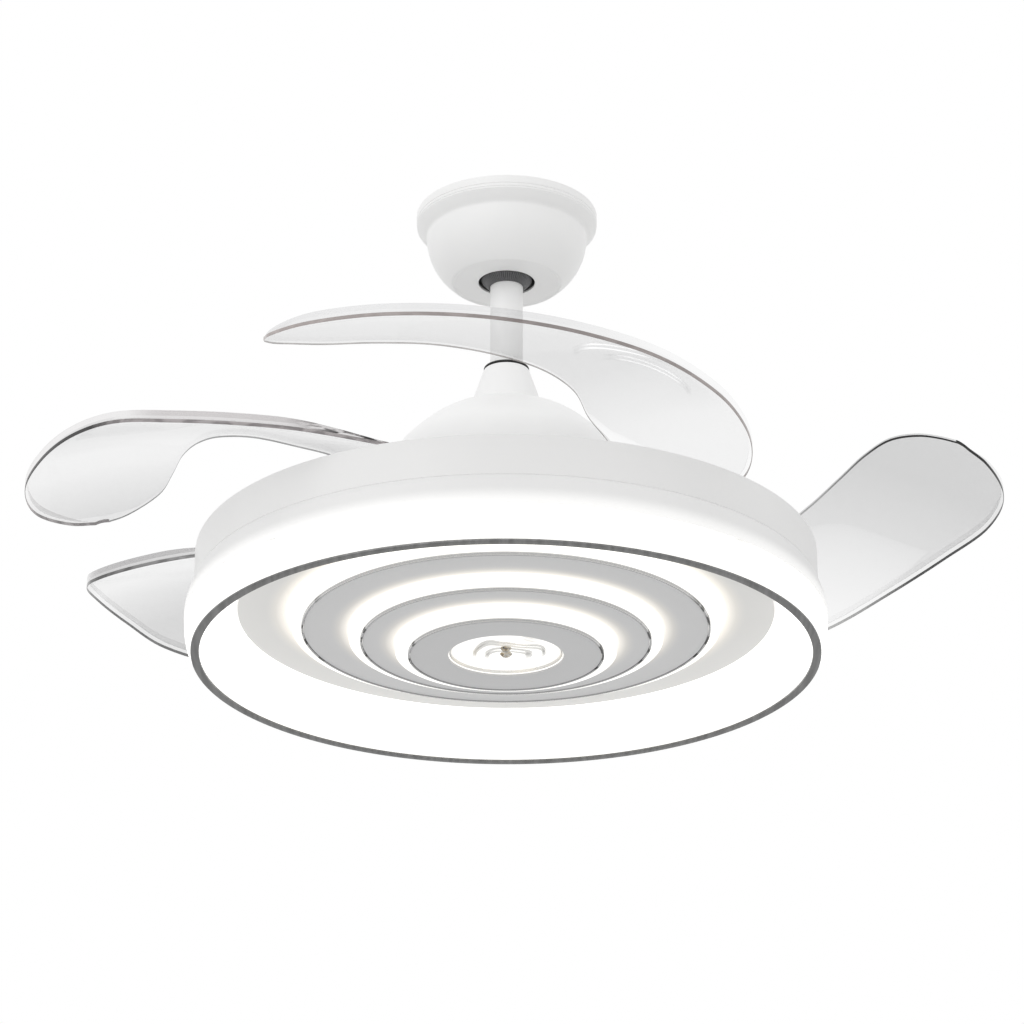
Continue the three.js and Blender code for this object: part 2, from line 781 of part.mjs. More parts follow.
// A closed tube of round wire through the given points.
function wire(points, radius, sides) {
  const positions = [];
  const index = [];
  const last = points.length - 1;
  points.forEach((point, i) => {
    const ahead = points[Math.min(i + 1, last)].clone().sub(points[Math.max(i - 1, 0)]).normalize();
    const across = new THREE.Vector3(0, 0, 1).cross(ahead).normalize();
    const upward = ahead.clone().cross(across);
    for (let j = 0; j < sides; j++) {
      const angle = (j / sides) * 2 * Math.PI;
      const corner = point.clone();
      corner.addScaledVector(across, radius * Math.cos(angle));
      corner.addScaledVector(upward, radius * Math.sin(angle));
      positions.push(corner.x, corner.y, corner.z);
    }
  });
  for (let i = 0; i < last; i++) {
    for (let j = 0; j < sides; j++) {
      const a = i * sides + j;
      const b = i * sides + ((j + 1) % sides);
      index.push(a, b, b + sides, a, b + sides, a + sides);
    }
  }
  for (let j = 1; j < sides - 1; j++) {
    index.push(0, j + 1, j);
    index.push(last * sides, last * sides + j, last * sides + j + 1);
  }
  const geometry = new THREE.BufferGeometry();
  geometry.setAttribute("position", new THREE.Float32BufferAttribute(positions, 3));
  geometry.setIndex(index);
  return geometry;
}

// The torsion spring that folds the blade back: close turns round the hub with a straight leg.
const springBottom = 106 + bladeThickness / 2 + seatGap + springWire / 2;
const springStepsPerTurn = 8;

function springPoints() {
  const points = [];
  const steps = springTurns * springStepsPerTurn;
  for (let i = 0; i <= steps; i++) {
    const angle = (i / springStepsPerTurn) * 2 * Math.PI;
    const height = springBottom + (springPitch * i) / springStepsPerTurn;
    points.push(new THREE.Vector3(springRadius * Math.cos(angle), springRadius * Math.sin(angle), height));
  }
  const end = points.at(-1);
  points.push(new THREE.Vector3(end.x, end.y + springLeg, end.z));
  return points;
}

function leastTurnGap(points) {
  let least = Infinity;
  points.forEach((a, i) => {
    for (let j = i + springStepsPerTurn - 2; j < points.length; j++) {
      least = Math.min(least, a.distanceTo(points[j]) - springWire);
    }
  });
  return least;
}

// A sheet lofted between the two edges, cambered, with an upturned lip along its outer edge.
function bladeSheet() {
  const edge = (offset) =>
    new THREE.CatmullRomCurve3(bladeRibs.map((rib) => new THREE.Vector3(...rib.slice(offset, offset + 3))));
  const outerEdge = edge(0);
  const innerEdge = edge(3);
  const half = bladeThickness / 2;
  const positions = [];
  let flatSection = [];
  let rows = 0;
  for (let i = 0; i < bladeStations; i++) {
    const along = i / (bladeStations - 1);
    const outer = outerEdge.getPoint(along);
    const inner = innerEdge.getPoint(along);
    const width = outer.distanceTo(inner);
    const lip = bladeLipHeight * THREE.MathUtils.smoothstep(along, 0.16, 0.34)
      * (1 - THREE.MathUtils.smoothstep(along, 0.82, 0.99));
    const lipShare = Math.min(bladeLipWidth / width, 0.3);
    const camber = bladeCamber * THREE.MathUtils.smoothstep(along, 0.1, 0.35) * Math.min(1, width / 60);
    const shares = Array.from({ length: bladeSpans + 1 }, (_, j) => j / bladeSpans);
    const section = [
      ...shares.map((share) => [share, -half]),
      ...shares.slice(1).reverse().map((share) => [share, half]),
      [lipShare, half],
      [lipShare, half + lip + 0.05],
      [0, half + lip + 0.05],
    ];
    for (const [share, rise] of section) {
      const point = outer.clone().lerp(inner, share);
      positions.push(point.x, point.y, point.z + rise + camber * 4 * share * (1 - share));
    }
    if (i === 0) flatSection = section;
    rows = section.length;
  }
  const index = [];
  for (let i = 0; i < bladeStations - 1; i++) {
    for (let j = 0; j < rows; j++) {
      const a = i * rows + j;
      const b = i * rows + ((j + 1) % rows);
      index.push(a, a + rows, b + rows, a, b + rows, b);
    }
  }
  const contour = flatSection.map(([share, rise]) => new THREE.Vector2(share * 100, rise));
  const lastRow = (bladeStations - 1) * rows;
  for (const [a, b, c] of THREE.ShapeUtils.triangulateShape(contour, [])) {
    index.push(a, b, c, lastRow + a, lastRow + c, lastRow + b);
  }
  const geometry = new THREE.BufferGeometry();
  geometry.setAttribute("position", new THREE.Float32BufferAttribute(positions, 3));
  geometry.setIndex(index);
  return cut(geometry, bar(hubRadius + seatGap, armBottom, hubTop));
}

console.log("least gap between spring turns", leastTurnGap(springPoints()).toFixed(2), "mm");

for (let i = 0; i < bladeCount; i++) {
  const pivot = new THREE.Group();
  pivot.position.set(
    pivotCircleRadius * Math.cos(pivotAngle(i)),
    pivotCircleRadius * Math.sin(pivotAngle(i)),
    0,
  );
  rotor.add(pivot);
  named(`pivot_pin_${i + 1}`, pivotPin(), steel, pivot);
  const swing = new THREE.Group();
  const referenceTurn = THREE.MathUtils.degToRad(-(360 / bladeCount) * i);
  swing.rotation.z = referenceTurn + THREE.MathUtils.degToRad(restSwings[i]);
  pivot.add(swing);
  named(`blade_arm_${i + 1}`, bladeArm(), steel, swing);
  named(`return_spring_${i + 1}`, wire(springPoints(), springWire / 2, 5), steel, swing);
  named(`blade_${i + 1}`, bladeSheet(), clearAcrylic, swing);
}

// ---- lamp -------------------------------------------------------------------------------------

const trimInnerRadius = lampRadius - trimWidth;
const floorRadius = trimInnerRadius - floorInset;
const skirtRadius = lampRadius + skirtOverhang;
const drumRadius = skirtRadius - skirtFlare;
const boardOuterRadius = drumRadius - boardInset;

function drumHousing() {
  const outside = [
    [drumHoleRadius, lidTop],
    [drumRadius - 1.5, lidTop],
    [drumRadius, lidTop - 1.5],
    [drumRadius, drumCreaseHeight],
    [drumRadius + (skirtRadius - drumRadius) * 0.32, drumCreaseHeight - 3.5],
    [drumRadius + (skirtRadius - drumRadius) * 0.83, skirtBottomHeight + 12],
    [skirtRadius, skirtBottomHeight + 5],
    [skirtRadius, skirtBottomHeight],
  ];
  const inside = [
    [skirtRadius - drumSheet, skirtBottomHeight],
    [skirtRadius - drumSheet, skirtBottomHeight + 5],
    [drumRadius + (skirtRadius - drumRadius) * 0.83 - drumSheet, skirtBottomHeight + 11.7],
    [drumRadius + (skirtRadius - drumRadius) * 0.32 - drumSheet, drumCreaseHeight - 4],
    [drumRadius - drumSheet, drumCreaseHeight - 0.4],
    [drumRadius - drumSheet, lidUnderside],
    [drumHoleRadius, lidUnderside],
  ];
  return turned([...outside, ...inside]);
}

named("drum_housing", drumHousing(), whitePaint, hanger);

function lampNut() {
  const nutTop = lidUnderside - seatGap;
  const nut = bar(lampNutRadius, nutTop - lampNutHeight, nutTop, 6);
  return cut(nut, bar(shaftRadius + seatGap, nutTop - lampNutHeight - 1, nutTop + 1, runningFaces));
}

named("lamp_nut", lampNut(), steel, hanger);

const chassisTop = chassisHeight + chassisSheet;
const chassisRadius = drumRadius - drumSheet - seatGap;
named(
  "lamp_chassis",
  turned([
    [floorBossRadius - 5, chassisHeight],
    [chassisRadius, chassisHeight],
    [chassisRadius, chassisTop + chassisRim],
    [chassisRadius - chassisSheet, chassisTop + chassisRim],
    [chassisRadius - chassisSheet, chassisTop],
    [floorBossRadius - 5, chassisTop],
  ]),
  steel,
  hanger,
);
named(
  "led_driver",
  block(...driverSize, driverOffset, 0, chassisTop + seatGap),
  terminalPlastic,
  hanger,
);
const chassisSeat = chassisHeight - seatGap;
named(
  "led_ring_board",
  ring(boardOuterRadius - boardWidth, boardOuterRadius, chassisSeat - boardThickness, chassisSeat),
  boardWhite,
  hanger,
);

// A milky channel: it curves in from the skirt to the trim ring and slopes up to the floor.
function diffuserRing() {
  const foot = trimThickness + seatGap;
  const outerTop = skirtBottomHeight - seatGap;
  const innerTopRadius = floorRadius + 0.6;
  const slopeFootRadius = trimInnerRadius - slopeFootInset;
  const slopeHeadRadius = floorRadius + slopeHeadReach;
  const outside = [
    [skirtRadius - 0.4, outerTop],
    [skirtRadius - 1, diffuserBulgeHeight],
    [skirtRadius - 3, diffuserTurnHeight],
    [lampRadius - 0.4, foot],
    [trimInnerRadius + 0.2, foot],
    [slopeFootRadius, slopeFootHeight],
    [slopeHeadRadius, slopeHeadHeight],
    [innerTopRadius, floorHeight + 3],
    [innerTopRadius, chassisSeat],
  ];
  const inside = [
    [innerTopRadius + diffuserWall, chassisSeat],
    [innerTopRadius + diffuserWall, floorHeight + 4],
    [slopeHeadRadius + diffuserWall * 0.85, slopeHeadHeight + diffuserWall * 0.7],
    [slopeFootRadius + diffuserWall * 0.85, slopeFootHeight + diffuserWall * 0.65],
    [trimInnerRadius + 1.6, foot + diffuserWall],
    [lampRadius - 1.8, foot + diffuserWall],
    [skirtRadius - 1 - diffuserWall, diffuserBulgeHeight + 1],
    [skirtRadius - 0.4 - diffuserWall, outerTop],
  ];
  return turned([...outside, ...inside]);
}

named("diffuser_ring", diffuserRing(), milkAcrylic, hanger);
named("trim_ring", ring(trimInnerRadius, lampRadius, 0, trimThickness), darkTrim, hanger);

const floorTop = floorHeight + floorPlate;
named(
  "floor_plate",
  turned([
    [floorBossRadius - 3, floorHeight],
    [floorRadius, floorHeight],
    [floorRadius, floorTop],
    [floorBossRadius, floorTop],
    [floorBossRadius, chassisSeat],
    [floorBossRadius - 3, chassisSeat],
  ]),
  satinGrey,
  hanger,
);

// Each step is a glowing band, a grey disc under it and a chrome rim round the disc.
const crystalTop = smallDiscHeight + discPlate + 0.5;
const discSteps = [
  [largeDiscRadius, largeDiscHeight, discHoleRadius],
  [middleDiscRadius, middleDiscHeight, discHoleRadius],
  [smallDiscRadius, smallDiscHeight, crystalRadius + 1],
];
let seat = floorHeight;
discSteps.forEach(([radius, height, hole], i) => {
  const label = i + 2;
  const band = radius - bandInset;
  const discTop = height + discPlate;
  named(
    `glow_band_${label}`,
    ring(band - bandWall, band, discTop + seatGap, seat - seatGap),
    milkAcrylic,
    hanger,
  );
  const discRadius = radius - discRimThickness - seatGap;
  named(`disc_${label}`, ring(hole, discRadius, height, discTop), satinGrey, hanger);
  const rimBottom = height - discRimDrop;
  named(
    `disc_rim_${label}`,
    ring(radius - discRimThickness, radius, rimBottom, rimBottom + discRimHeight),
    chrome,
    hanger,
  );
  seat = height;
});

// A clear dish set in the smallest disc, with a cut-glass stem and the small emitter above it.
function crystalDish() {
  const outside = [];
  const inside = [];
  const steps = 4;
  for (let i = 0; i <= steps; i++) {
    const share = i / steps;
    const drop = 1 - Math.cos((share * Math.PI) / 2);
    const height = crystalTop - crystalDepth * 0.55 + crystalDepth * 0.55 * drop;
    outside.push([crystalRadius * share, height]);
    inside.push([(crystalRadius - 1) * share, height + crystalWall]);
  }
  return turned([...outside, ...inside.reverse()]);
}

named("crystal_lens", crystalDish(), crystalGlass, hanger);
const stemBottom = crystalTop - crystalDepth * 0.55 + crystalWall + seatGap;
named(
  "crystal_stem",
  turned([
    [0, stemBottom],
    [stemRadius * 0.6, stemBottom],
    [stemRadius, stemBottom + 2],
    [stemRadius * 0.5, stemBottom + 4.5],
    [stemRadius * 0.9, stemBottom + 7],
    [0, stemBottom + 8],
  ], stemSides),
  crystalGlass,
  hanger,
);
const emitterTop = middleDiscHeight - seatGap;
named("centre_emitter", bar(emitterRadius, emitterTop - emitterThickness, emitterTop), boardWhite, hanger);

export default fan;
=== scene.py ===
"""The looks of a ceiling fan with folding clear blades over a stepped ring lamp.

Metres, Z up, and the ceiling is the plane Z = 0. Piece outlines are written in millimetres
above the lower face of the lamp's trim ring, which hangs 396 mm under the ceiling.
"""

from math import acos, cos, pi, radians, sin, sqrt

import bmesh
import bpy
from mathutils import Matrix, Vector


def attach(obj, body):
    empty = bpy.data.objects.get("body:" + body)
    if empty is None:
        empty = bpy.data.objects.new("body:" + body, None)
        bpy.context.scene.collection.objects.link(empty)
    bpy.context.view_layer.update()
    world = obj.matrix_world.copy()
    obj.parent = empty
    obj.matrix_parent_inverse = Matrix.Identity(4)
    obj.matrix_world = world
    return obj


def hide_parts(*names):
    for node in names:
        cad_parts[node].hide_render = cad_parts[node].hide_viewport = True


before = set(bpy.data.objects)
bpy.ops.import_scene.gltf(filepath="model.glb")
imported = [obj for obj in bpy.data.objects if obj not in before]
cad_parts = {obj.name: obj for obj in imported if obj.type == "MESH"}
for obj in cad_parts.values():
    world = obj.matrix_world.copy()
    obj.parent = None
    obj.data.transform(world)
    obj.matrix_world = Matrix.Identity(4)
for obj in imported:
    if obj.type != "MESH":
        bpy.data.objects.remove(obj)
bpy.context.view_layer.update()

# ---- the view -------------------------------------------------------------------------------
# A long lens below the fan and in front of it, looking up past the near rim of the lamp.

view = bpy.context.scene
view.view_settings.view_transform = "Standard"
view_rise = radians(22.896)
view_turn = radians(0.094)
view_roll = radians(0.073)
ahead = Vector((sin(view_turn) * cos(view_rise), cos(view_turn) * cos(view_rise), sin(view_rise)))
level_right = Vector((cos(view_turn), -sin(view_turn), 0))
level_up = level_right.cross(ahead)
right = cos(view_roll) * level_right + sin(view_roll) * level_up
upward = cos(view_roll) * level_up - sin(view_roll) * level_right
lens = bpy.data.cameras.new("camera")
lens.sensor_width = 36
lens.lens = 134.63
lens.clip_end = 60
camera = bpy.data.objects.new("camera", lens)
view.collection.objects.link(camera)
camera_place = (0, -2.8475, -1.470)
camera_axes = Matrix((right, upward, -ahead)).transposed().to_4x4()
camera.matrix_world = Matrix.Translation(camera_place) @ camera_axes
view.camera = camera


# ---- room and light -------------------------------------------------------------------------
# A white room: even light from all round, one wide soft lamp at the upper left, and a pale
# floor 2.6 m under the ceiling. Glossy and clear pieces see the same white as the camera.

class Tone:
    """A value or colour in a shader. Sums and products of it add Math nodes."""

    def __init__(self, finish, socket):
        self.finish = finish
        self.socket = socket

    def math(self, operation, *values):
        return self.finish.node("Math", {"operation": operation}, dict(enumerate(values)))

    def __add__(self, other):
        return self.math("ADD", self, other)

    def __sub__(self, other):
        return self.math("SUBTRACT", self, other)

    def __mul__(self, other):
        return self.math("MULTIPLY", self, other)

    def __truediv__(self, other):
        return self.math("DIVIDE", self, other)

    def __pow__(self, other):
        return self.math("POWER", self, other)

    def __rsub__(self, other):
        return self.math("SUBTRACT", other, self)

    def __abs__(self):
        return self.math("ABSOLUTE", self)

    __radd__ = __add__
    __rmul__ = __mul__

    def sine(self):
        return self.math("SINE", self)

    def capped(self, most=1.0):
        return self.math("MINIMUM", self, most)

    def within(self, low, high):
        """0 below low, 1 above high, and a soft rise between them."""
        settings = {"interpolation_type": "SMOOTHSTEP"}
        return self.finish.node("MapRange", settings, {"Value": self, "From Min": low, "From Max": high})


lamp_drop = 396  # millimetres from the ceiling down to the trim ring's lower face


class Finish:
    """A material, or the room's shader, and the nodes that make it."""

    def __init__(self, name, owner=None):
        self.owner = owner or bpy.data.materials.new(name)
        self.owner.use_nodes = True
        self.tree = self.owner.node_tree

    def node(self, kind, settings=None, sockets=None, output=0):
        """Adds a node: its settings come first, then the values or links of its sockets."""
        made = self.tree.nodes.new("ShaderNode" + kind)
        for name, value in (settings or {}).items():
            if name == "stops":
                ramp = made.color_ramp.elements
                while len(ramp) < len(value):
                    ramp.new(0.5)
                for stop, (place, colour) in zip(ramp, value):
                    stop.position = place
                    stop.color = (*colour, 1)
            else:
                setattr(made, name, value)
        for key, value in (sockets or {}).items():
            self.feed(made.inputs[key], value)
        return Tone(self, made.outputs[output])

    def feed(self, socket, value):
        if isinstance(value, Tone):
            self.tree.links.new(value.socket, socket)
        elif isinstance(value, tuple) and socket.type == "RGBA":
            socket.default_value = (*value[:3], 1)
        else:
            socket.default_value = value

    def surface(self, **sockets):
        """Sets the main shader's sockets; an underscore in a name stands for a space."""
        shader = self.tree.nodes["Principled BSDF"]
        for name, value in sockets.items():
            self.feed(shader.inputs[name.replace("_", " ")], value)
        return self

    def place(self):
        """The point on the piece at rest, in metres, as three values."""
        point = self.node("TexCoord", output="Object")
        return [self.node("SeparateXYZ", None, {0: point}, axis) for axis in "XYZ"]

    def radius(self):
        """How far the point is from the fan's axis, in millimetres."""
        x, y, _ = self.place()
        return (x * x + y * y) ** 0.5 * 1000

    def height(self):
        """How far the point is above the trim ring's lower face, in millimetres."""
        return self.place()[2] * 1000 + lamp_drop

    def grain(self, scale, detail=2.0, stretch=(1, 1, 1)):
        """Soft noise from 0 to 1, with about `scale` patches to the metre."""
        point = self.node("TexCoord", output="Object")
        drawn = self.node("Mapping", None, {"Vector": point, "Scale": stretch})
        return self.node("TexNoise", None, {"Vector": drawn, "Scale": scale, "Detail": detail})

    def blend(self, share, first, second):
        """From the first colour to the second as the share goes from 0 to 1."""
        settings = {"data_type": "RGBA"}
        return self.node("Mix", settings, {0: share, 6: first, 7: second}, 2)

    def relief(self, height, depth, strength=1.0):
        """The surface's normal, with bumps of the given depth in metres."""
        return self.node("Bump", None, {"Height": height, "Distance": depth, "Strength": strength})


room = Finish("room", view.world or bpy.data.worlds.new("room"))
view.world = room.owner
room_light = 0.90
ray_kinds = ("Is Camera Ray", "Is Glossy Ray", "Is Transmission Ray")
seen_rays = [room.node("LightPath", output=kind) for kind in ray_kinds]
seen = (seen_rays[0] + seen_rays[1] + seen_rays[2]).capped()
room_level = room_light + seen * (1 - room_light)
backdrop = room.tree.nodes["Background"]
backdrop.inputs["Color"].default_value = (1, 1, 1, 1)
room.feed(backdrop.inputs["Strength"], room_level)

soft_lamp_place, soft_lamp_aim = Vector((-1.6, -2.2, 0.9)), Vector((0, 0, -0.2))
soft_lamp = bpy.data.lights.new("soft_lamp", "AREA")
soft_lamp.shape = "DISK"
soft_lamp.size = 2.4
soft_lamp.energy = 14
soft_lamp_stand = bpy.data.objects.new("soft_lamp", soft_lamp)
view.collection.objects.link(soft_lamp_stand)
soft_lamp_stand.location = soft_lamp_place
soft_lamp_stand.rotation_euler = (soft_lamp_aim - soft_lamp_place).to_track_quat("-Z", "Y").to_euler()

floor_reach, floor_height = 14, -2.6
floor_signs = ((-1, -1), (1, -1), (1, 1), (-1, 1))
floor_corners = [(floor_reach * x, floor_reach * y, floor_height) for x, y in floor_signs]
floor_mesh = bpy.data.meshes.new("floor")
floor_mesh.from_pydata(floor_corners, [], [(0, 1, 2, 3)])
floor = bpy.data.objects.new("floor", floor_mesh)
view.collection.objects.link(floor)
floor_finish = Finish("pale_floor")
floor_ray = floor_finish.node("LightPath", output="Is Camera Ray")
floor_finish.surface(
    Base_Color=(0.86, 0.86, 0.855),
    Roughness=0.85,
    Emission_Color=floor_finish.blend(floor_ray, (0, 0, 0), (0.2, 0.2, 0.2)),
    Emission_Strength=1.0,
)
floor_mesh.materials.append(floor_finish.owner)


# ---- canopy ---------------------------------------------------------------------------------
# A bowl spun from steel sheet with a rolled rim, powder coated white outside. Inside it is bare
# steel in near-black painted shade for its dark hollow. It slides up over the bracket, and one
# countersunk screw on each side holds it.

least_radius = 1e-6  # nearer to the axis than this, a point of an outline lies on it


def eased(outline, ease, steps=4, spun=True):
    """The closed outline with its corners rounded by about `ease` millimetres.

    A corner's own third value comes before `ease`. On the axis of a spun outline it stays sharp.
    """
    rounded = []
    for i, corner in enumerate(outline):
        here = Vector(corner[:2])
        back = Vector(outline[i - 1][:2]) - here
        onward = Vector(outline[(i + 1) % len(outline)][:2]) - here
        own = corner[2] if len(corner) > 2 else ease
        on_axis = spun and corner[0] < least_radius
        reach = 0 if on_axis else min(own, 0.45 * back.length, 0.45 * onward.length)
        if reach < 0.01:
            rounded.append(tuple(here))
            continue
        start = here + back.normalized() * reach
        end = here + onward.normalized() * reach
        for step in range(steps + 1):
            share = step / steps
            point = start * (1 - share) ** 2 + here * (2 * share * (1 - share)) + end * share ** 2
            rounded.append(tuple(point))
    return rounded


def flowing(points, steps=6):
    """A smooth line through the points, given as radius and height."""
    line = []
    for i in range(len(points) - 1):
        before, first = Vector(points[max(i - 1, 0)]), Vector(points[i])
        second, after = Vector(points[i + 1]), Vector(points[min(i + 2, len(points) - 1)])
        for step in range(steps):
            t = step / steps
            point = (
                first * 2 + (second - before) * t
                + (before * 2 - first * 5 + second * 4 - after) * t ** 2
                + (first * 3 - before - second * 3 + after) * t ** 3
            ) / 2
            line.append(tuple(point))
    return line + [tuple(points[-1])]


def behind(outer_line, depth):
    """Tells whether a point of an outline lies further than depth behind the outer line."""
    spans = [(Vector(a[:2]), Vector(b[:2])) for a, b in zip(outer_line, outer_line[1:])]

    def test(radius, height):
        point = Vector((radius, height))
        gaps = []
        for start, end in spans:
            along = (point - start).dot(end - start) / max((end - start).length_squared, 1e-9)
            gaps.append((point - start.lerp(end, min(1, max(0, along)))).length)
        return min(gaps) > depth

    return test


def turned(name, outline, faces=144, centre=(0, 0), inner=None, flutes=None):
    """A mesh spun about an upright axis from a closed outline in millimetres above the trim ring.

    `inner` tells from a face's radius and height whether it takes the second finish. `flutes`
    tells from a point's radius, height and column how far it is sunk.
    """
    mesh = bpy.data.meshes.new(name)
    build = bmesh.new()
    rings = []
    for radius, height in outline:
        z = (height - lamp_drop) / 1000
        if radius < least_radius:
            rings.append([build.verts.new((centre[0], centre[1], z))])
            continue
        ring = []
        for i in range(faces):
            angle = 2 * pi * i / faces
            cut = flutes(radius, height, i) if flutes else 0
            reach = (radius - cut) / 1000
            place = (centre[0] + reach * cos(angle), centre[1] + reach * sin(angle), z)
            ring.append(build.verts.new(place))
        rings.append(ring)
    for k, ring in enumerate(rings):
        above = rings[(k + 1) % len(rings)]
        if len(ring) == 1 and len(above) == 1:
            continue
        middle = [(outline[k][j] + outline[(k + 1) % len(rings)][j]) / 2 for j in (0, 1)]
        for i in range(faces):
            j = (i + 1) % faces
            corners = [line[m % len(line)] for line, m in ((ring, i), (ring, j), (above, j), (above, i))]
            face = build.faces.new(list(dict.fromkeys(corners)))
            face.smooth = True
            face.material_index = 1 if inner and inner(*middle) else 0
    bmesh.ops.recalc_face_normals(build, faces=build.faces)
    build.to_mesh(mesh)
    build.free()
    mesh.set_sharp_from_angle(angle=radians(38))
    piece = bpy.data.objects.new(name, mesh)
    view.collection.objects.link(piece)
    return piece


def fit(piece, body, nodes, slot, *finishes):
    """Gives a piece its finishes, and puts it on its body in the place of the plain solids."""
    for finish in finishes:
        piece.data.materials.append(finish.owner)
    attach(piece, body)
    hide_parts(*nodes)


def dress(finish, *nodes):
    """Gives plain solids that stay a finish."""
    for node in nodes:
        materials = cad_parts[node].data.materials
        materials.clear()
        materials.append(finish.owner)


def powder_coat(name, colour, roughness=0.42):
    """Satin powder coat: a faint orange peel and a slightly uneven sheen."""
    coat = Finish(name)
    peel = coat.grain(420, 3)
    cloud = coat.grain(9, 2)
    darker = tuple(0.975 * c for c in colour)
    return coat.surface(
        Base_Color=coat.blend(cloud.within(0.3, 0.7), colour, darker),
        Roughness=roughness - 0.05 + 0.1 * peel,
        Specular_IOR_Level=0.4,
        Normal=coat.relief(peel, 0.00012, 0.25),
    )


white_coat = powder_coat("white_powder_coat", (0.90, 0.90, 0.897))
# Bare steel made near black: painted shade for the hollows inside the canopy and the motor cover
shaded_inside_steel = Finish("inner_steel_painted_shade")
shaded_inside_steel.surface(
    Base_Color=shaded_inside_steel.blend(shaded_inside_steel.grain(60, 4), (0.028, 0.028, 0.03), (0.05, 0.05, 0.05)),
    Metallic=0.4,
    Roughness=0.6 + 0.2 * shaded_inside_steel.grain(180),
)

canopy_rim, canopy_shoulder, canopy_flat, canopy_hole = 75, 66.5, 45, 23.3
canopy_floor, face_step, bowl_top, canopy_sheet = 333.4, 0.9, 376, 1.8
bowl_sweep = radians(54)
finish_depth = 1.2  # of a shell's sheet: faces further behind its outer side take the near-black painted shade


def groove(radius, height, depth=0.55, half=0.75):
    """Corners of a fine groove rolled into an upright wall."""
    return [(radius, height + half, 0.2), (radius - depth, height + half * 0.3, 0.2),
            (radius - depth, height - half * 0.3, 0.2), (radius - 0.1, height - half, 0.2)]


def bowl(inset, steps):
    """The bowl's curve from its shoulder down to its flat face, part of an ellipse."""
    line = []
    for i in range(steps + 1):
        angle = i / steps * bowl_sweep
        out = (cos(angle) - cos(bowl_sweep)) / (1 - cos(bowl_sweep))
        drop = (bowl_top - canopy_floor - inset) * sin(angle) / sin(bowl_sweep)
        line.append((canopy_flat + (canopy_shoulder - canopy_flat) * out - inset, bowl_top - drop, 0))
    return line


canopy_outside = (
    [(canopy_rim, lamp_drop, 0.8)]
    + groove(canopy_rim, lamp_drop - 7.4)
    + groove(canopy_rim - 0.2, lamp_drop - 10.2)
    + [(73.4, 383.4, 3), (69.8, 379.4, 3), (67.6, 377.4, 1.5)]
    + bowl(0, 28)
    + [
        (canopy_flat - 0.8, canopy_floor, 0.4), (canopy_flat - 2.4, canopy_floor + face_step, 0.6),
        (canopy_hole, canopy_floor + face_step, 0.5),
    ]
)
rim_inside = canopy_rim - canopy_sheet
canopy_inside = (
    [(canopy_hole, canopy_floor + face_step + canopy_sheet, 0.3)]
    + bowl(canopy_sheet, 16)[::-1]
    + [(66.8, 379.5), (71.1, 383.3), (rim_inside, 388.6), (rim_inside, lamp_drop)]
)
canopy_line = eased(canopy_outside + canopy_inside, 0.3)
canopy = turned("canopy_bowl", canopy_line, inner=behind(canopy_outside, finish_depth))
fit(canopy, "ceiling_mount", ["canopy"], "white_paint", white_coat, shaded_inside_steel)


# ---- bracket, screws and the parts in the canopy --------------------------------------------
# A pressed, zinc-plated bracket is screwed to the ceiling and carries the ball's seat. The
# receiver for the remote and the terminal block are moulded in white plastic.

def plated(name, tint, roughness=0.3):
    """Zinc or nickel plate with faint rolling marks."""
    plate = Finish(name)
    marks = plate.grain(240, 3, (1, 0.06, 1))
    dark = tuple(0.72 * c for c in tint)
    return plate.surface(
        Base_Color=plate.blend(marks.within(0.25, 0.75), tint, dark),
        Metallic=1.0,
        Roughness=roughness + 0.18 * marks,
        Normal=plate.relief(marks, 0.00005, 0.3),
    )


def moulded(name, tint, roughness=0.5):
    """Moulded plastic with a fine spark-eroded grain."""
    plastic = Finish(name)
    pits = plastic.grain(1500, 2)
    soft = tuple(0.93 * c for c in tint)
    return plastic.surface(
        Base_Color=plastic.blend(plastic.grain(40), tint, soft),
        Roughness=roughness - 0.06 + 0.12 * pits,
        Normal=plastic.relief(pits, 0.00006, 0.4),
    )


zinc = plated("zinc_plate", (0.50, 0.50, 0.51))
white_plastic = moulded("white_plastic", (0.68, 0.68, 0.65))
dress(zinc, "ceiling_bracket")
dress(white_coat, "canopy_screw_right", "canopy_screw_left")
dress(white_plastic, "remote_receiver", "terminal_block")


# ---- hanger ball ----------------------------------------------------------------------------
# A dark glass-filled nylon ball that hangs in the bracket's seat on a steel cross pin. Its
# lower collar is finely ribbed and shows in the canopy's hole round the rod.

ball_radius, ball_middle, rod_radius = 27, 361, 13.5
collar_radius, collar_low_radius, collar_bottom, collar_taper = 21, 15, 329.7, 6.5
collar_neck, rib_depth = 18, 1.3
ball_line = []
neck_angle = -acos(collar_neck / ball_radius)
for i in range(25):
    angle = neck_angle + (pi / 4 - neck_angle) * i / 24
    ball_line.append((ball_radius * cos(angle), ball_middle + ball_radius * sin(angle), 0))
rod_hole = rod_radius + 0.3
collar_top = collar_bottom + collar_taper
ball_line += [
    (rod_hole, ball_line[-1][1]), (rod_hole, collar_bottom), (collar_low_radius, collar_bottom),
    (collar_radius, collar_top, 0.3), (collar_radius, collar_top + 2, 0.3),
    (collar_neck, collar_top + 2.5, 0.3),
]


def collar_ribs(radius, height, i):
    """Every third column of the collar is sunk, which leaves upright ribs."""
    ribbed = height < collar_top + 2.6 and radius > collar_low_radius - 0.2
    return rib_depth if ribbed and i % 3 == 0 else 0


nylon = moulded("dark_nylon", (0.16, 0.16, 0.165), 0.45)
ball = turned("ribbed_ball", eased(ball_line, 0.2), faces=198, flutes=collar_ribs)
fit(ball, "hanger", ["hanger_ball"], "dark_polymer", nylon)
dress(zinc, "ball_cross_pin")


# ---- downrod, gasket and yoke cover ---------------------------------------------------------
# A white coated steel tube. A cone spun from sheet covers its joint with the motor: a thin
# black rubber ring seals the cone's top, and one small screw holds its foot.

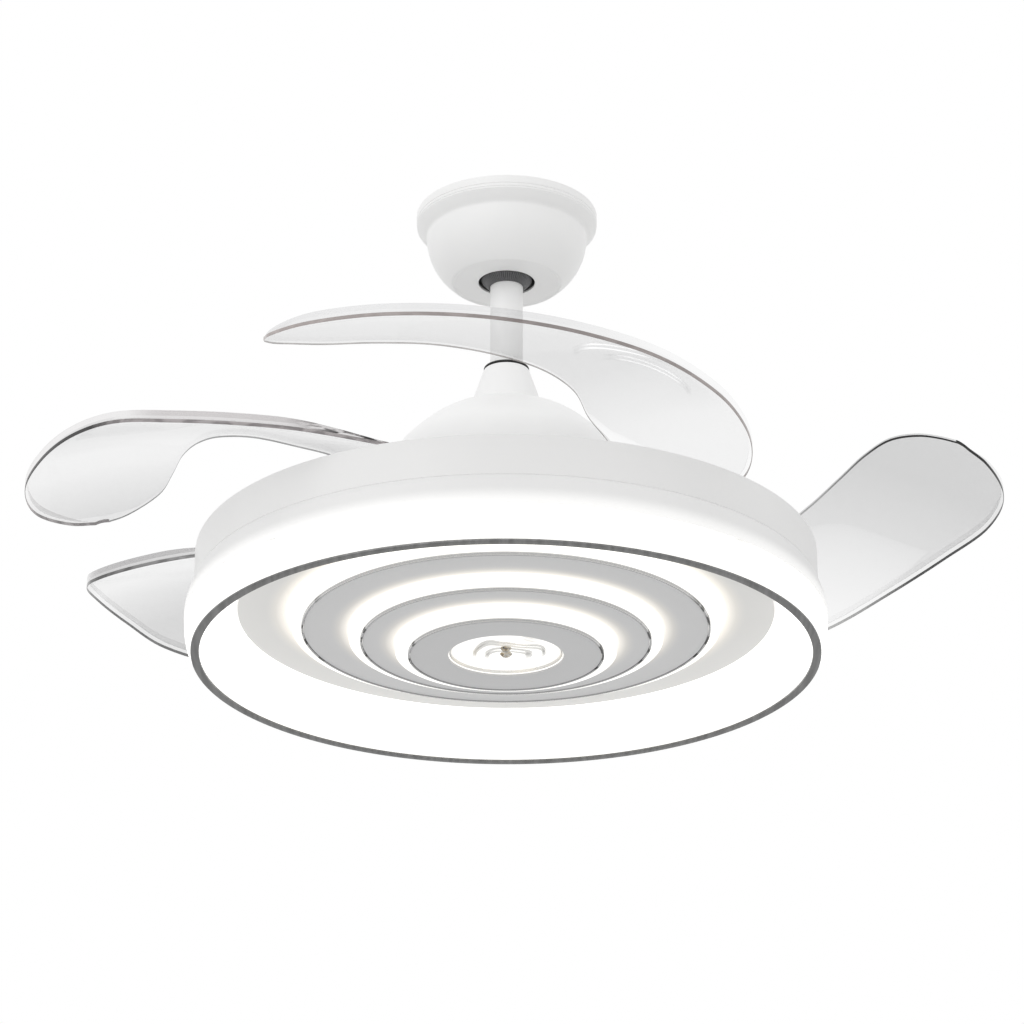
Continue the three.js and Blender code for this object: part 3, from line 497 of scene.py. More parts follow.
rod_bore, rod_bottom, rod_top = 11.5, 226.6, 378
rod_line = [
    (rod_bore, rod_bottom), (rod_radius, rod_bottom, 0.4), (rod_radius, rod_top, 0.4), (rod_bore, rod_top),
]
rod = turned("downrod_tube", eased(rod_line, 0.2), faces=96)
fit(rod, "hanger", ["downrod"], "white_paint", white_coat)

cone_foot, foot_height, cone_top, top_height, cone_sheet = 30.5, 218.3, 18.8, 254, 1.5
gasket_bottom, gasket_top = top_height + 0.3, 256.2
rubber = moulded("black_rubber", (0.012, 0.012, 0.012), 0.7)
gasket_line = [
    (rod_hole, gasket_bottom), (cone_top, gasket_bottom, 0.7),
    (18.4, gasket_top, 0.7), (rod_hole, gasket_top),
]
gasket = turned("gasket_ring", eased(gasket_line, 0.3), faces=96)
fit(gasket, "hanger", ["rod_gasket"], "rubber", rubber)

cone_line = [
    (cone_foot, foot_height, 0.3), (cone_top, top_height - 0.6, 0.8), (cone_top - 1.2, top_height, 0.6),
    (rod_hole, top_height), (rod_hole, top_height - cone_sheet),
    (cone_top - cone_sheet, top_height - cone_sheet - 0.8), (cone_foot - cone_sheet, foot_height),
]
fit(turned("cone_cover", eased(cone_line, 0.3)), "hanger", ["yoke_cover"], "white_paint", white_coat)
dark_screw = plated("dark_screw", (0.16, 0.16, 0.17))
dress(dark_screw, "yoke_cover_screw")


# ---- motor cover ----------------------------------------------------------------------------
# The motor's cover is a shallow dome spun from sheet steel, with a soft step below the cone
# and a straight wall that hides the rotor. It is coated white outside, and inside it is bare steel in
# near-black painted shade.

upper_dome = [(30.5, 218), (43.5, 214), (54.4, 209), (65.3, 202), (76.1, 192.5), (82.4, 186.5)]
lower_dome = [(82.4, 186.5), (88.5, 179), (91.8, 170), (93, 158), (93, 128)]
dome_inside = [
    (91.2, 128.3), (91.2, 158), (86.7, 177.2), (80.6, 184.7), (63.5, 200.2), (41.7, 212.2), (28.7, 216.2),
]
cover_outside = (
    [(19, 218, 0.3)]
    + [(r, h, 0) for r, h in flowing(upper_dome)]
    + [(r, h, 0) for r, h in flowing(lower_dome, 5)[1:]]
)
cover_inside = [(r, h, 0) for r, h in flowing(dome_inside, 4)] + [(19, 216.2, 0.3)]
cover_line = eased(cover_outside + cover_inside, 0)
motor_cover = turned("motor_dome", cover_line, inner=behind(cover_outside, finish_depth))
fit(motor_cover, "hanger", ["motor_cover"], "white_paint", white_coat, shaded_inside_steel)


# ---- motor ----------------------------------------------------------------------------------
# An outer-rotor motor hangs in the cover: a hollow steel shaft and yoke, a wound stator, and
# two pressed shells with the magnets, which turn on ball bearings. Little of it shows.

machined = plated("machined_steel", (0.46, 0.46, 0.47), 0.25)
copper = plated("copper_winding", (0.45, 0.20, 0.09), 0.4)
magnet = moulded("sintered_magnet", (0.03, 0.03, 0.032), 0.5)
dress(machined, "motor_yoke", "rod_bolt", "motor_shaft", "bearing_upper", "bearing_lower")
dress(copper, "stator")
dress(magnet, "magnet_ring")

shell_steel = plated("pressed_shell", (0.42, 0.42, 0.43), 0.32)
rotor_bottom, rotor_split, rotor_top, rotor_radius, rotor_sheet = 112.5, 150, 196.5, 74, 3
shell_bore, seat_radius, seat_height = 16.3, 19.5, 10
rotor_inside = rotor_radius - rotor_sheet
lower_shell = [
    (shell_bore, rotor_bottom), (rotor_radius, rotor_bottom, 3), (rotor_radius, rotor_split - 0.3, 0.3),
    (rotor_inside, rotor_split - 0.3, 0.3), (rotor_inside, rotor_bottom + rotor_sheet, 2),
    (seat_radius, rotor_bottom + rotor_sheet), (seat_radius, rotor_bottom + seat_height),
    (shell_bore, rotor_bottom + seat_height),
]
upper_shell = [
    (shell_bore, rotor_top - seat_height), (shell_bore, rotor_top), (40, rotor_top, 3), (70, 189.5, 4),
    (rotor_radius, 183.5, 4), (rotor_radius, rotor_split, 0.3), (rotor_inside, rotor_split, 0.3),
    (rotor_inside, 182.5, 3), (68, 186.5, 3), (40, rotor_top - rotor_sheet, 2),
    (seat_radius, rotor_top - rotor_sheet), (seat_radius, rotor_top - seat_height),
]
fit(turned("shell_below", eased(lower_shell, 0.3)), "rotor", ["rotor_shell_bottom"], "steel", shell_steel)
fit(turned("shell_above", eased(upper_shell, 0.3)), "rotor", ["rotor_shell_top"], "steel", shell_steel)


# ---- blade carrier and pivots ---------------------------------------------------------------
# A turned plate under the rotor, coated grey, with a collar up to the shell. Each blade turns
# on a steel pin with rolled heads, set 121 mm from the axis.

grey_coat = powder_coat("grey_powder_coat", (0.50, 0.505, 0.51), 0.4)
carrier_bottom, carrier_top, collar_rise = 98, 101.5, 10.7
carrier_line = [
    (17.5, carrier_bottom), (134, carrier_bottom, 1.2), (134, carrier_top, 1.2), (46, carrier_top, 1.5),
    (46, carrier_top + collar_rise), (40, carrier_top + collar_rise), (40, carrier_top), (17.5, carrier_top),
]
carrier = turned("carrier_plate", eased(carrier_line, 0.3))
fit(carrier, "rotor", ["blade_carrier"], "carrier_grey", grey_coat)

pivot_circle = 0.121
arm_bottom, hub_top = 101.8, 121.8
pin_steel = plated("pin_steel", (0.55, 0.55, 0.56), 0.2)
pivot_angles = [radians(-25.8 - 90 * i) for i in range(4)]
pivot_places = [(pivot_circle * cos(angle), pivot_circle * sin(angle)) for angle in pivot_angles]
pin_bottom, pin_top, pin_radius, head_radius, head_height = 94.7, 125.1, 4, 7, 3
low_head, high_head = pin_bottom + head_height, pin_top - head_height
pin_line = [
    (0, pin_bottom), (head_radius, pin_bottom, 1), (head_radius, low_head, 0.3), (pin_radius, low_head),
    (pin_radius, high_head), (head_radius, high_head, 0.3), (head_radius, pin_top, 1.4), (0, pin_top),
]
for i, place in enumerate(pivot_places):
    pin = turned(f"pin_{i + 1}", eased(pin_line, 0.3), faces=40, centre=place)
    fit(pin, "rotor", [f"pivot_pin_{i + 1}"], "steel", pin_steel)


# ---- arms and return springs ----------------------------------------------------------------
# A stamped steel paddle with a pressed-in hub sits under each blade's root. A torsion spring
# round the hub, with one leg on the blade, pulls the blade back over the lamp.

blade_swings = [-18.9, 0, 50, 7.8]  # degrees that each blade has opened from the second one's place
blade_turns = [radians(-90 * i + blade_swings[i]) for i in range(4)]


def pivot_frame(i):
    return Matrix.Translation((*pivot_places[i], 0)) @ Matrix.Rotation(blade_turns[i], 4, "Z")


def at_pivot(piece, i):
    """Moves a mesh made round its own pivot to the place and the swing of blade i."""
    piece.data.transform(pivot_frame(i))
    return piece


def stamped(name, outline, bottom, top, bevel):
    """A flat plate with softened edges from an outline in millimetres."""
    build = bmesh.new()
    corners = [build.verts.new((x / 1000, y / 1000, (bottom - lamp_drop) / 1000)) for x, y in outline]
    face = build.faces.new(corners)
    grown = bmesh.ops.extrude_face_region(build, geom=[face])
    raised = [v for v in grown["geom"] if isinstance(v, bmesh.types.BMVert)]
    bmesh.ops.translate(build, verts=raised, vec=(0, 0, (top - bottom) / 1000))
    bmesh.ops.recalc_face_normals(build, faces=build.faces)
    rims = [e for e in build.edges if abs(e.verts[0].co.z - e.verts[1].co.z) < 1e-7]
    bmesh.ops.bevel(build, geom=rims, offset=bevel / 1000, segments=2, affect="EDGES")
    mesh = bpy.data.meshes.new(name)
    build.to_mesh(mesh)
    build.free()
    mesh.shade_smooth()
    mesh.set_sharp_from_angle(angle=radians(30))
    piece = bpy.data.objects.new(name, mesh)
    view.collection.objects.link(piece)
    return piece


paddle_arc = [(13 * cos(radians(a)), 13 * sin(radians(a)), 0) for a in range(25, 200, 8)]
paddle_line = eased(paddle_arc + [(-9, -25, 5), (8, -30, 5), (36, -14, 5), (34, -4, 5)], 0, 5)
spring_radius, spring_wire, spring_pitch, spring_turns, spring_leg = 11.2, 1.4, 2.4, 3, 14
spring_steps = 28  # straight runs in each turn
root_top = 107.5  # the upper face of a blade's root
spring_bottom = root_top + 0.3 + spring_wire / 2
spring_steel = plated("spring_steel", (0.36, 0.36, 0.37), 0.25)
for i in range(4):
    arm = at_pivot(stamped(f"arm_plate_{i + 1}", paddle_line, arm_bottom, arm_bottom + 2.4, 0.4), i)
    fit(arm, f"blade_assembly_{i + 1}", [f"blade_arm_{i + 1}"], "steel", machined)
    hub_line = [(4.4, arm_bottom + 2.3), (8, arm_bottom + 2.3), (8, hub_top, 0.6), (4.4, hub_top, 0.3)]
    hub = turned(f"arm_hub_{i + 1}", eased(hub_line, 0.2), faces=48, centre=pivot_places[i])
    hub.data.materials.append(machined.owner)
    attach(hub, f"blade_assembly_{i + 1}")

    coil = bpy.data.curves.new(f"spring_{i + 1}", "CURVE")
    coil.dimensions = "3D"
    coil.bevel_depth = spring_wire / 2000
    coil.bevel_resolution = 4
    coil.use_fill_caps = True
    turns_line = []
    for k in range(spring_turns * spring_steps + 1):
        angle = 2 * pi * k / spring_steps
        rise = spring_pitch * k / spring_steps
        turns_line.append((spring_radius * cos(angle), spring_radius * sin(angle), spring_bottom + rise))
    last_x, last_y, last_height = turns_line[-1]
    turns_line.append((last_x, last_y + spring_leg, last_height))
    strand = coil.splines.new("POLY")
    strand.points.add(len(turns_line) - 1)
    for point, (x, y, h) in zip(strand.points, turns_line):
        point.co = (*(pivot_frame(i) @ Vector((x / 1000, y / 1000, (h - lamp_drop) / 1000))), 1)
    spring = bpy.data.objects.new(f"spring_{i + 1}", coil)
    view.collection.objects.link(spring)
    fit(spring, f"blade_assembly_{i + 1}", [f"return_spring_{i + 1}"], "steel", spring_steel)


# ---- blades ---------------------------------------------------------------------------------
# Each blade is cut from 3 mm clear acrylic and formed hot: it twists and rises from root to
# tip, is slightly crowned, and its outer edge is turned up. The flame-polished edges read dark by painted
# reflection.

blade_half = 1.5  # half of the sheet's thickness
blade_crown = 4
lip_height, lip_width = 7, 2.4
blade_stations, blade_spans = 110, 14

# A section's points are counted round it. The lower face starts at point 3, the lower half of the
# inner edge runs to point 7, the upper face starts at point 12 and its fillet at the lip runs to
# point 15, and the outer edge is point 25 and points 0 to 2. The lip is what is left.
lower_start, inner_end, upper_start, fillet_end, outer_start = 3, 7, 12, 15, 25
sheet_side, outer_side, lip_side, inner_side = range(4)

# The two edges as matching points from root to tip, in millimetres from the pivot:
# outer edge x, y and height, then inner edge x, y and height.
blade_ribs = [
    (14, 17, 106, -16, 12, 106),
    (38, 3, 106, -16, -14, 106.5),
    (68, -19, 104.5, -9, -46, 115),
    (99, -58, 100, -2, -79, 130),
    (118, -104, 100, -10, -112, 143),
    (124, -152, 102, -11, -145, 151),
    (117, -200, 107, -25, -172, 158),
    (89, -243, 119, -56, -192, 167),
    (38, -281, 131, -100, -209, 175),
    (-28, -314, 139, -145, -221, 178),
    (-95, -335, 141.5, -182, -234, 176.5),
    (-155, -332, 145, -202, -252, 172),
    (-195, -308, 153, -210, -267, 167),
    (-208, -290, 159, -212, -279, 163.5),
]


def edge_point(offset, along):
    """A point on one edge of the blade, on a centripetal curve through the ribs."""
    knots = [Vector(rib[offset:offset + 3]) for rib in blade_ribs]
    knots = [knots[0] * 2 - knots[1]] + knots + [knots[-1] * 2 - knots[-2]]
    place = min(along, 0.999999) * (len(blade_ribs) - 1)
    k = int(place)
    t = place - k
    p0, p1, p2, p3 = knots[k:k + 4]
    d0, d1, d2 = [max(sqrt((b - a).length), 1e-4) for a, b in ((p0, p1), (p1, p2), (p2, p3))]
    m1 = ((p1 - p0) / d0 - (p2 - p0) / (d0 + d1) + (p2 - p1) / d1) * d1
    m2 = ((p2 - p1) / d1 - (p3 - p1) / (d1 + d2) + (p3 - p2) / d2) * d1
    return (p1 * (2 * t ** 3 - 3 * t ** 2 + 1) + m1 * (t ** 3 - 2 * t ** 2 + t)
            + p2 * (3 * t ** 2 - 2 * t ** 3) + m2 * (t ** 3 - t ** 2))


def soft_step(low, high, value):
    """0 below low, 1 above high, and a soft rise between them, for numbers alone."""
    share = min(1, max(0, (value - low) / (high - low)))
    return share * share * (3 - 2 * share)


def blade_mesh(name):
    """The crowned, twisted sheet with its turned-up lip.

    Its finishes are the sheet's, the outer edge's, the lip's and the inner edge's.
    """
    build = bmesh.new()
    rows = []
    for i in range(blade_stations):
        along = i / (blade_stations - 1)
        outer, inner = edge_point(0, along), edge_point(3, along)
        width = (outer - inner).length
        lip = lip_height * soft_step(0.16, 0.34, along) * (1 - soft_step(0.82, 0.99, along)) + 0.05
        crown = blade_crown * soft_step(0.1, 0.35, along) * min(1, width / 60)
        wall = min(lip_width, 0.3 * width)
        rounding = min(0.7, width * 0.05)
        corners = [
            (0, -blade_half, rounding), (width, -blade_half, rounding),
            (width, 0, 0), (width, blade_half, rounding),
            (wall, blade_half, min(2.5, lip * 0.45)), (wall, blade_half + lip, 0.6),
            (0, blade_half + lip, 0.6), (0, blade_half, 0),
        ]
        section = eased(corners, 0, 3, spun=False)
        flat = []
        for k, (across, rise) in enumerate(section):
            flat.append((across, rise, k))
            if k in (lower_start, upper_start):
                next_across, next_rise = section[k + 1]
                for step in range(1, blade_spans):
                    share = step / blade_spans
                    between = across + (next_across - across) * share
                    flat.append((between, rise + (next_rise - rise) * share, k))
        row = []
        for across, rise, k in flat:
            share = across / width
            point = outer.lerp(inner, share)
            height = point.z + rise + crown * 4 * share * (1 - share) - lamp_drop
            row.append((build.verts.new((point.x / 1000, point.y / 1000, height / 1000)), k))
        rows.append(row)
    count = len(rows[0])
    for near, far in zip(rows, rows[1:]):
        for j in range(count):
            m = (j + 1) % count
            face = build.faces.new((near[j][0], far[j][0], far[m][0], near[m][0]))
            face.smooth = True
            k = near[j][1]
            if k == lower_start or inner_end < k <= fillet_end:
                face.material_index = sheet_side
            elif lower_start < k <= inner_end:
                face.material_index = inner_side
            else:
                face.material_index = outer_side if k < lower_start or k == outer_start else lip_side
    for row in (rows[0], rows[-1]):
        end = build.faces.new([vert for vert, _ in row])
        end.material_index = outer_side
    bmesh.ops.recalc_face_normals(build, faces=build.faces)
    mesh = bpy.data.meshes.new(name)
    build.to_mesh(mesh)
    build.free()
    mesh.set_sharp_from_angle(angle=radians(50))
    return mesh


def along_line(finish, start, end):
    """From 0 to 1 along the line from start to end, in metres at rest."""
    line = Vector(end) - Vector(start)
    offsets = [(p - q) * way for p, q, way in zip(finish.place(), start, line)]
    return (offsets[0] + offsets[1] + offsets[2]) * (1 / line.length_squared)


def shaded(finish, line, stops):
    """A grey that changes along a line, by stops of place and value."""
    greys = [(place, (value, value, value)) for place, value in stops]
    return finish.node("ValToRGB", {"stops": greys}, {0: along_line(finish, *line)})


def clear_sheet(name, line, stops, painted_highlights=()):
    """Clear acrylic with painted reflections: greyer where it would mirror the dim side of the room, and
    glowing crescents as painted highlights.
    """
    sheet = Finish(name)
    # Painted reflection: the sheet's cover rises and falls along the line by place on the blade
    body = shaded(sheet, line, stops)
    facing = sheet.node("LayerWeight", None, {"Blend": 0.2}, "Fresnel")
    x, y, _ = sheet.place()
    # Painted highlights: crescents that glow, placed on the blade at rest
    lit = 0.0
    for middle, radius, half_width, reach in painted_highlights:
        away = ((x - middle[0]) ** 2 + (y - middle[1]) ** 2) ** 0.5
        near_side = (middle[1] - y).within(0, 0.012)
        crescent = near_side * (1 - abs(away - radius).within(half_width * 0.4, half_width))
        lit = lit + crescent * (1 - abs(x - reach[0]).within(reach[1] * 0.5, reach[1]))
    shine = sheet.blend(lit, (0, 0, 0), (0.75, 0.75, 0.75)) if painted_highlights else (0, 0, 0)
    return sheet.surface(
        Base_Color=sheet.blend(sheet.grain(6, 1), (0.30, 0.30, 0.305), (0.34, 0.34, 0.345)),
        Roughness=0.04 + 0.03 * sheet.grain(14, 1),
        IOR=1.49,
        Alpha=(body + 0.12 * facing + 0.55 * lit).capped(),
        Emission_Color=shine,
        Emission_Strength=1.0,
    )


def edge_painted_reflection(name, line, stops, tint, mottle=0.0):
    """A flame-polished edge with painted reflections: dark and pale streaks stand in for the light that it
    traps.
    """
    edge = Finish(name)
    depth = shaded(edge, line, stops)
    # Painted reflection: dark and pale streaks along the edge, deeper where the stops say
    streaks = edge.grain(70, 3, (1, 1, 2.5)).within(0.4, 0.6)
    paleness = (depth * (1 - mottle + 2 * mottle * streaks)).capped()
    return edge.surface(
        Base_Color=edge.blend(paleness, (0.006, 0.006, 0.006), tint),
        Roughness=0.12,
        Specular_IOR_Level=0.08,
        Alpha=0.97 - 0.35 * paleness,
    )


def turned_up_lip(name, line, stops, tint, root=None):
    """The lip stands on edge, and painted light makes it paler than the flat sheet.

    Black streaks of painted reflection mark the root of a blade where `root` gives their start and full
    depth along x.
    """
    lip = Finish(name)
    # Painted light: the lip's pale cover changes along the line, with black painted reflections at the root
    waves = lip.grain(20, 2)
    pale = tuple(min(1, 1.15 * c) for c in tint)
    colour = lip.blend(waves, tint, pale)
    cover = shaded(lip, line, stops) * (0.8 + 0.4 * waves)
    if root:
        streaks = lip.grain(90, 3, (0.35, 1, 2.5)).within(0.46, 0.56) * lip.place()[0].within(*root)
        colour = lip.blend(streaks, colour, (0.008, 0.008, 0.008))
        cover = cover + 0.7 * streaks
    return lip.surface(Base_Color=colour, Roughness=0.08, Alpha=cover.capped())


# The looks of each blade, in the order of their pivots. A line runs from one point to another in
# metres, and each stop gives a place on it and a depth. A crescent has its middle, its radius, its
# half width, and its reach along x as a middle and a half length.
# These looks paint each blade's reflections and highlights by place on the blade at rest.
near_line = ((-0.26, -0.3, -0.22), (0.20, -0.3, -0.22))
left_line = ((-0.40, 0, -0.22), (-0.08, 0, -0.22))
far_line = ((-0.40, 0.1, -0.22), (-0.20, 0.1, -0.22))
right_line = ((0.36, 0.04, -0.20), (0.28, 0.27, -0.27))
right_tip_line = ((0.24, 0.1, -0.22), (0.38, 0.1, -0.22))
blade_looks = [
    {
        "sheet": {
            "line": ((0.04, -0.30, -0.25), (0.17, -0.20, -0.28)),
            "stops": [(0, 0.10), (0.4, 0.09), (0.8, 0.02), (1, 0.01)],
            "painted_highlights": [
                ((0.104, -0.253), 0.054, 0.003, (0.082, 0.036)),
                ((0.102, -0.248), 0.035, 0.0028, (0.106, 0.036)),
            ],
        },
        "edge": {
            "line": near_line,
            "stops": [(0, 0.8), (0.6, 0.42), (1, 0.55)],
            "tint": (0.42, 0.335, 0.315),
            "mottle": 0.1,
        },
        "lip": {
            "line": ((-0.20, -0.3, -0.22), (0.13, -0.3, -0.22)),
            "stops": [(0, 0.22), (0.7, 0.20), (0.95, 0.06)],
            "tint": (0.50, 0.50, 0.51),
        },
        "inner": {
            "line": near_line,
            "stops": [(0, 0.75), (1, 0.6)],
            "tint": (0.44, 0.40, 0.38),
            "mottle": 0.1,
        },
    },
    {
        "sheet": {
            "line": ((-0.30, -0.19, -0.23), (-0.34, 0.10, -0.23)),
            "stops": [(0, 0.12), (0.12, 0.20), (0.45, 0.02), (0.62, 0.02), (1, 0.15)],
        },
        "edge": {
            "line": ((-0.20, -0.23, -0.22), (-0.385, 0.05, -0.22)),
            "stops": [(0, 0.45), (0.22, 0.45), (0.34, 0.02), (0.78, 0.02), (0.92, 0.5), (1, 0.5)],
            "tint": (0.42, 0.36, 0.365),
            "mottle": 0.3,
        },
        "lip": {
            "line": left_line,
            "stops": [(0, 0.16), (0.35, 0.14), (0.44, 0.40), (1, 0.36)],
            "tint": (0.40, 0.365, 0.37),
            "root": (-0.17, -0.12),
        },
        "inner": {
            "line": left_line,
            "stops": [(0, 0.35), (1, 0.45)],
            "tint": (0.40, 0.40, 0.40),
            "mottle": 0.1,
        },
    },
    {
        "sheet": {
            "line": ((-0.34, 0.10, -0.22), (-0.30, 0.30, -0.24)),
            "stops": [(0, 0.08), (0.4, 0.03), (1, 0.18)],
        },
        "edge": {
            "line": far_line,
            "stops": [(0, 0.3), (0.3, 0.15), (1, 0.5)],
            "tint": (0.42, 0.41, 0.41),
            "mottle": 0.3,
        },
        "lip": {
            "line": ((-0.36, 0.10, -0.22), (-0.34, 0.20, -0.22)),
            "stops": [(0, 0.46), (1, 0.10)],
            "tint": (0.34, 0.33, 0.335),
        },
        "inner": {
            "line": far_line,
            "stops": [(0, 0.5), (1, 0.5)],
            "tint": (0.42, 0.41, 0.41),
            "mottle": 0.1,
        },
    },
    {
        "sheet": {
            "line": right_line,
            "stops": [(0, 0.21), (0.5, 0.11), (1, 0.01)],
        },
        "edge": {
            "line": right_tip_line,
            "stops": [(0, 0.85), (0.4, 0.6), (0.75, 0.03), (1, 0.0)],
            "tint": (0.52, 0.52, 0.51),
            "mottle": 0.05,
        },
        "lip": {
            "line": right_line,
            "stops": [(0, 0.10), (0.5, 0.05), (1, 0.01)],
            "tint": (0.30, 0.30, 0.305),
        },
        "inner": {
            "line": right_tip_line,
            "stops": [(0, 0.70), (0.2, 0.45), (0.42, 0.02), (1, 0.0)],
            "tint": (0.48, 0.48, 0.48),
            "mottle": 0.05,
        },
    },
]
for i, look in enumerate(blade_looks):
    clear_blade = bpy.data.objects.new(f"clear_blade_{i + 1}", blade_mesh(f"clear_blade_{i + 1}"))
    view.collection.objects.link(clear_blade)
    at_pivot(clear_blade, i)
    fit(
        clear_blade, f"blade_assembly_{i + 1}", [f"blade_{i + 1}"], "clear_acrylic",
        clear_sheet(f"clear_acrylic_{i + 1}", **look["sheet"]),
        edge_painted_reflection(f"edge_painted_reflection_{i + 1}", **look["edge"]),
        turned_up_lip(f"turned_up_lip_{i + 1}", **look["lip"]),
        edge_painted_reflection(f"inner_edge_{i + 1}", **look["inner"]),
    )


# ---- lamp housing ---------------------------------------------------------------------------
# A drum spun from steel sheet, coated white: flat lid, straight wall, and below a fine crease
# a skirt that flares a little to meet the luminous ring.

drum_coat = powder_coat("drum_powder_coat", (0.84, 0.838, 0.835), 0.45)
lit_from, lit_to = 28, 43  # painted light from the ring below on the skirt between these heights
painted_skirt_light = (0.24, 0.238, 0.232)
skirt_light = 1 - drum_coat.height().within(lit_from, lit_to)
drum_coat.surface(
    Emission_Color=drum_coat.blend(skirt_light, (0, 0, 0), painted_skirt_light),
    Emission_Strength=1.0,
)
drum_radius, drum_lid, drum_sheet, lid_hole = 249, 87, 1.5, 10
drum_line = [
    (lid_hole, drum_lid), (drum_radius, drum_lid, 2.2), (drum_radius, 54.6, 0.25), (248.5, 54.2, 0.2),
    (249.2, 53.6, 0.3), (251.2, 50.5, 3), (254.8, 40, 6), (256, 33, 3), (256, 28.3, 0.4),
    (254.5, 28.3, 0.4), (254.5, 33), (253.3, 39.7), (249.7, 50), (drum_radius - drum_sheet, 53.6),
    (drum_radius - drum_sheet, drum_lid - drum_sheet), (lid_hole, drum_lid - drum_sheet),
]
drum = turned("lamp_drum", eased(drum_line, 0.3), faces=240)
fit(drum, "hanger", ["drum_housing"], "white_paint", drum_coat)
dress(machined, "lamp_nut", "lamp_chassis")
dress(white_plastic, "led_driver")
solder_mask = moulded("white_solder_mask", (0.80, 0.82, 0.78), 0.4)
dress(solder_mask, "led_ring_board")


# ---- luminous ring --------------------------------------------------------------------------
# An opal acrylic channel, moulded in one piece and lit from behind by the ring board: it
# curves in from the skirt to the trim ring, then slopes up to the lamp's floor.

def opal(name, colour, warm=(1.0, 0.955, 0.86)):
    """Opal acrylic lit from behind, a trace warmer and dimmer between the diodes."""
    milk = Finish(name)
    spots = milk.grain(30, 1)
    return milk.surface(
        Base_Color=(0.20, 0.20, 0.195),
        Roughness=0.3,
        Emission_Color=milk.blend(spots * 0.12, colour, warm),
        Emission_Strength=1.0,
    )


luminous = Finish("luminous_ring")
outer_share = luminous.height().within(29, 21)
slope_share = luminous.radius().within(250, 246)
luminous.surface(
    Base_Color=(0.80, 0.80, 0.79),
    Roughness=0.32,
    Emission_Color=luminous.blend((outer_share + slope_share).capped(), painted_skirt_light, (0.80, 0.79, 0.765)),
    Emission_Strength=1.0,
)
ring_foot, ring_wall, ring_top, slope_end = 2.3, 2.5, 53.7, 214.5
ring_outside = [
    (255.6, 27.7, 0.3), (255.2, 16, 6), (253.2, 7, 5), (249.6, ring_foot, 1), (243.4, ring_foot, 1),
    (233, 19, 8), (220.5, 33.5, 5), (slope_end, 41, 1), (slope_end, ring_top, 0.3),
]
ring_inside = [
    (slope_end + ring_wall, ring_top, 0.3), (slope_end + ring_wall, 42), (222.6, 35.2), (235.2, 20.6),
    (244.8, ring_foot + ring_wall), (248.2, ring_foot + ring_wall), (252.5, 17), (253.1, 27.7),
]
luminous_ring = turned("luminous_channel", eased(ring_outside + ring_inside, 0.3, 6), faces=240)
fit(luminous_ring, "hanger", ["diffuser_ring"], "milk_acrylic", luminous)

trim_inside, trim_outside, trim_depth = 243.2, 250, 2
anodised = plated("dark_anodised_trim", (0.24, 0.24, 0.24), 0.38)
trim_line = [
    (trim_inside, 0, 0.5), (trim_outside, 0, 0.8),
    (trim_outside, trim_depth, 0.3), (trim_inside, trim_depth, 0.3),
]
trim = turned("trim_hoop", eased(trim_line, 0.3), faces=240)
fit(trim, "hanger", ["trim_ring"], "trim_dark", anodised)


# ---- lamp floor and stepped discs -----------------------------------------------------------
# Four flat plates in satin grey, each lower and smaller than the last. A lit opal band above
# each disc shows its flange round the disc, and a warm halo of its light is painted on the plate
# behind it. A thin chrome hoop runs round each disc, with painted dark reflections at its sides.

painted_halo_stops = [
    (0.0, (0, 0, 0)), (0.3, (0.09, 0.075, 0.05)), (0.7, (0.34, 0.305, 0.25)), (1.0, (0.64, 0.63, 0.60)),
]


def grey_with_painted_halo(name, base, edge_radius, core, fade):
    """Satin grey coat with a painted halo of light outside edge_radius: full over core, gone at fade, in
    millimetres.
    """
    grey = Finish(name)
    away = grey.radius() - edge_radius
    # Painted light: the warm halo that the lit band above throws on this grey
    halo = 1 - (away / fade).within(core / fade, 1.0)
    peel = grey.grain(420, 2)
    return grey.surface(
        Base_Color=grey.blend(grey.grain(12), base, tuple(0.97 * c for c in base)),
        Roughness=0.40 + 0.1 * peel,
        Specular_IOR_Level=0.35,
        Emission_Color=grey.node("ValToRGB", {"stops": painted_halo_stops}, {0: halo}),
        Emission_Strength=1.0,
        Normal=grey.relief(peel, 0.0001, 0.2),
    )


disc_radii = (163, 116, 78)
floor_bottom, floor_top, floor_radius = 38, 40, 213.9
floor_line = [
    (14, floor_bottom), (floor_radius, floor_bottom, 0.4), (floor_radius, floor_top, 0.4),
    (17, floor_top), (17, ring_top), (14, ring_top),
]
lamp_floor = turned("lamp_floor", eased(floor_line, 0.2), faces=240)
floor_grey = grey_with_painted_halo("floor_grey", (0.74, 0.735, 0.725), disc_radii[0], 4, 30)
fit(lamp_floor, "hanger", ["floor_plate"], "grey_paint", floor_grey)

hoop_chrome = Finish("hoop_chrome")
# Painted reflections: dark patches where the hoop turns away to the left and right
sideways = abs(hoop_chrome.place()[0]) * 1000 / hoop_chrome.radius()
painted_dark_reflection = sideways.within(0.86, 0.96) * hoop_chrome.grain(60, 1, (1, 1, 0.3)).within(0.5, 0.56)
hoop_chrome.surface(
    Base_Color=hoop_chrome.blend(painted_dark_reflection, (0.46, 0.46, 0.465), (0.04, 0.04, 0.04)),
    Metallic=1.0,
    Roughness=0.14 + 0.06 * hoop_chrome.grain(34, 2),
)
lit_band = opal("lit_band", (1.0, 0.99, 0.955))

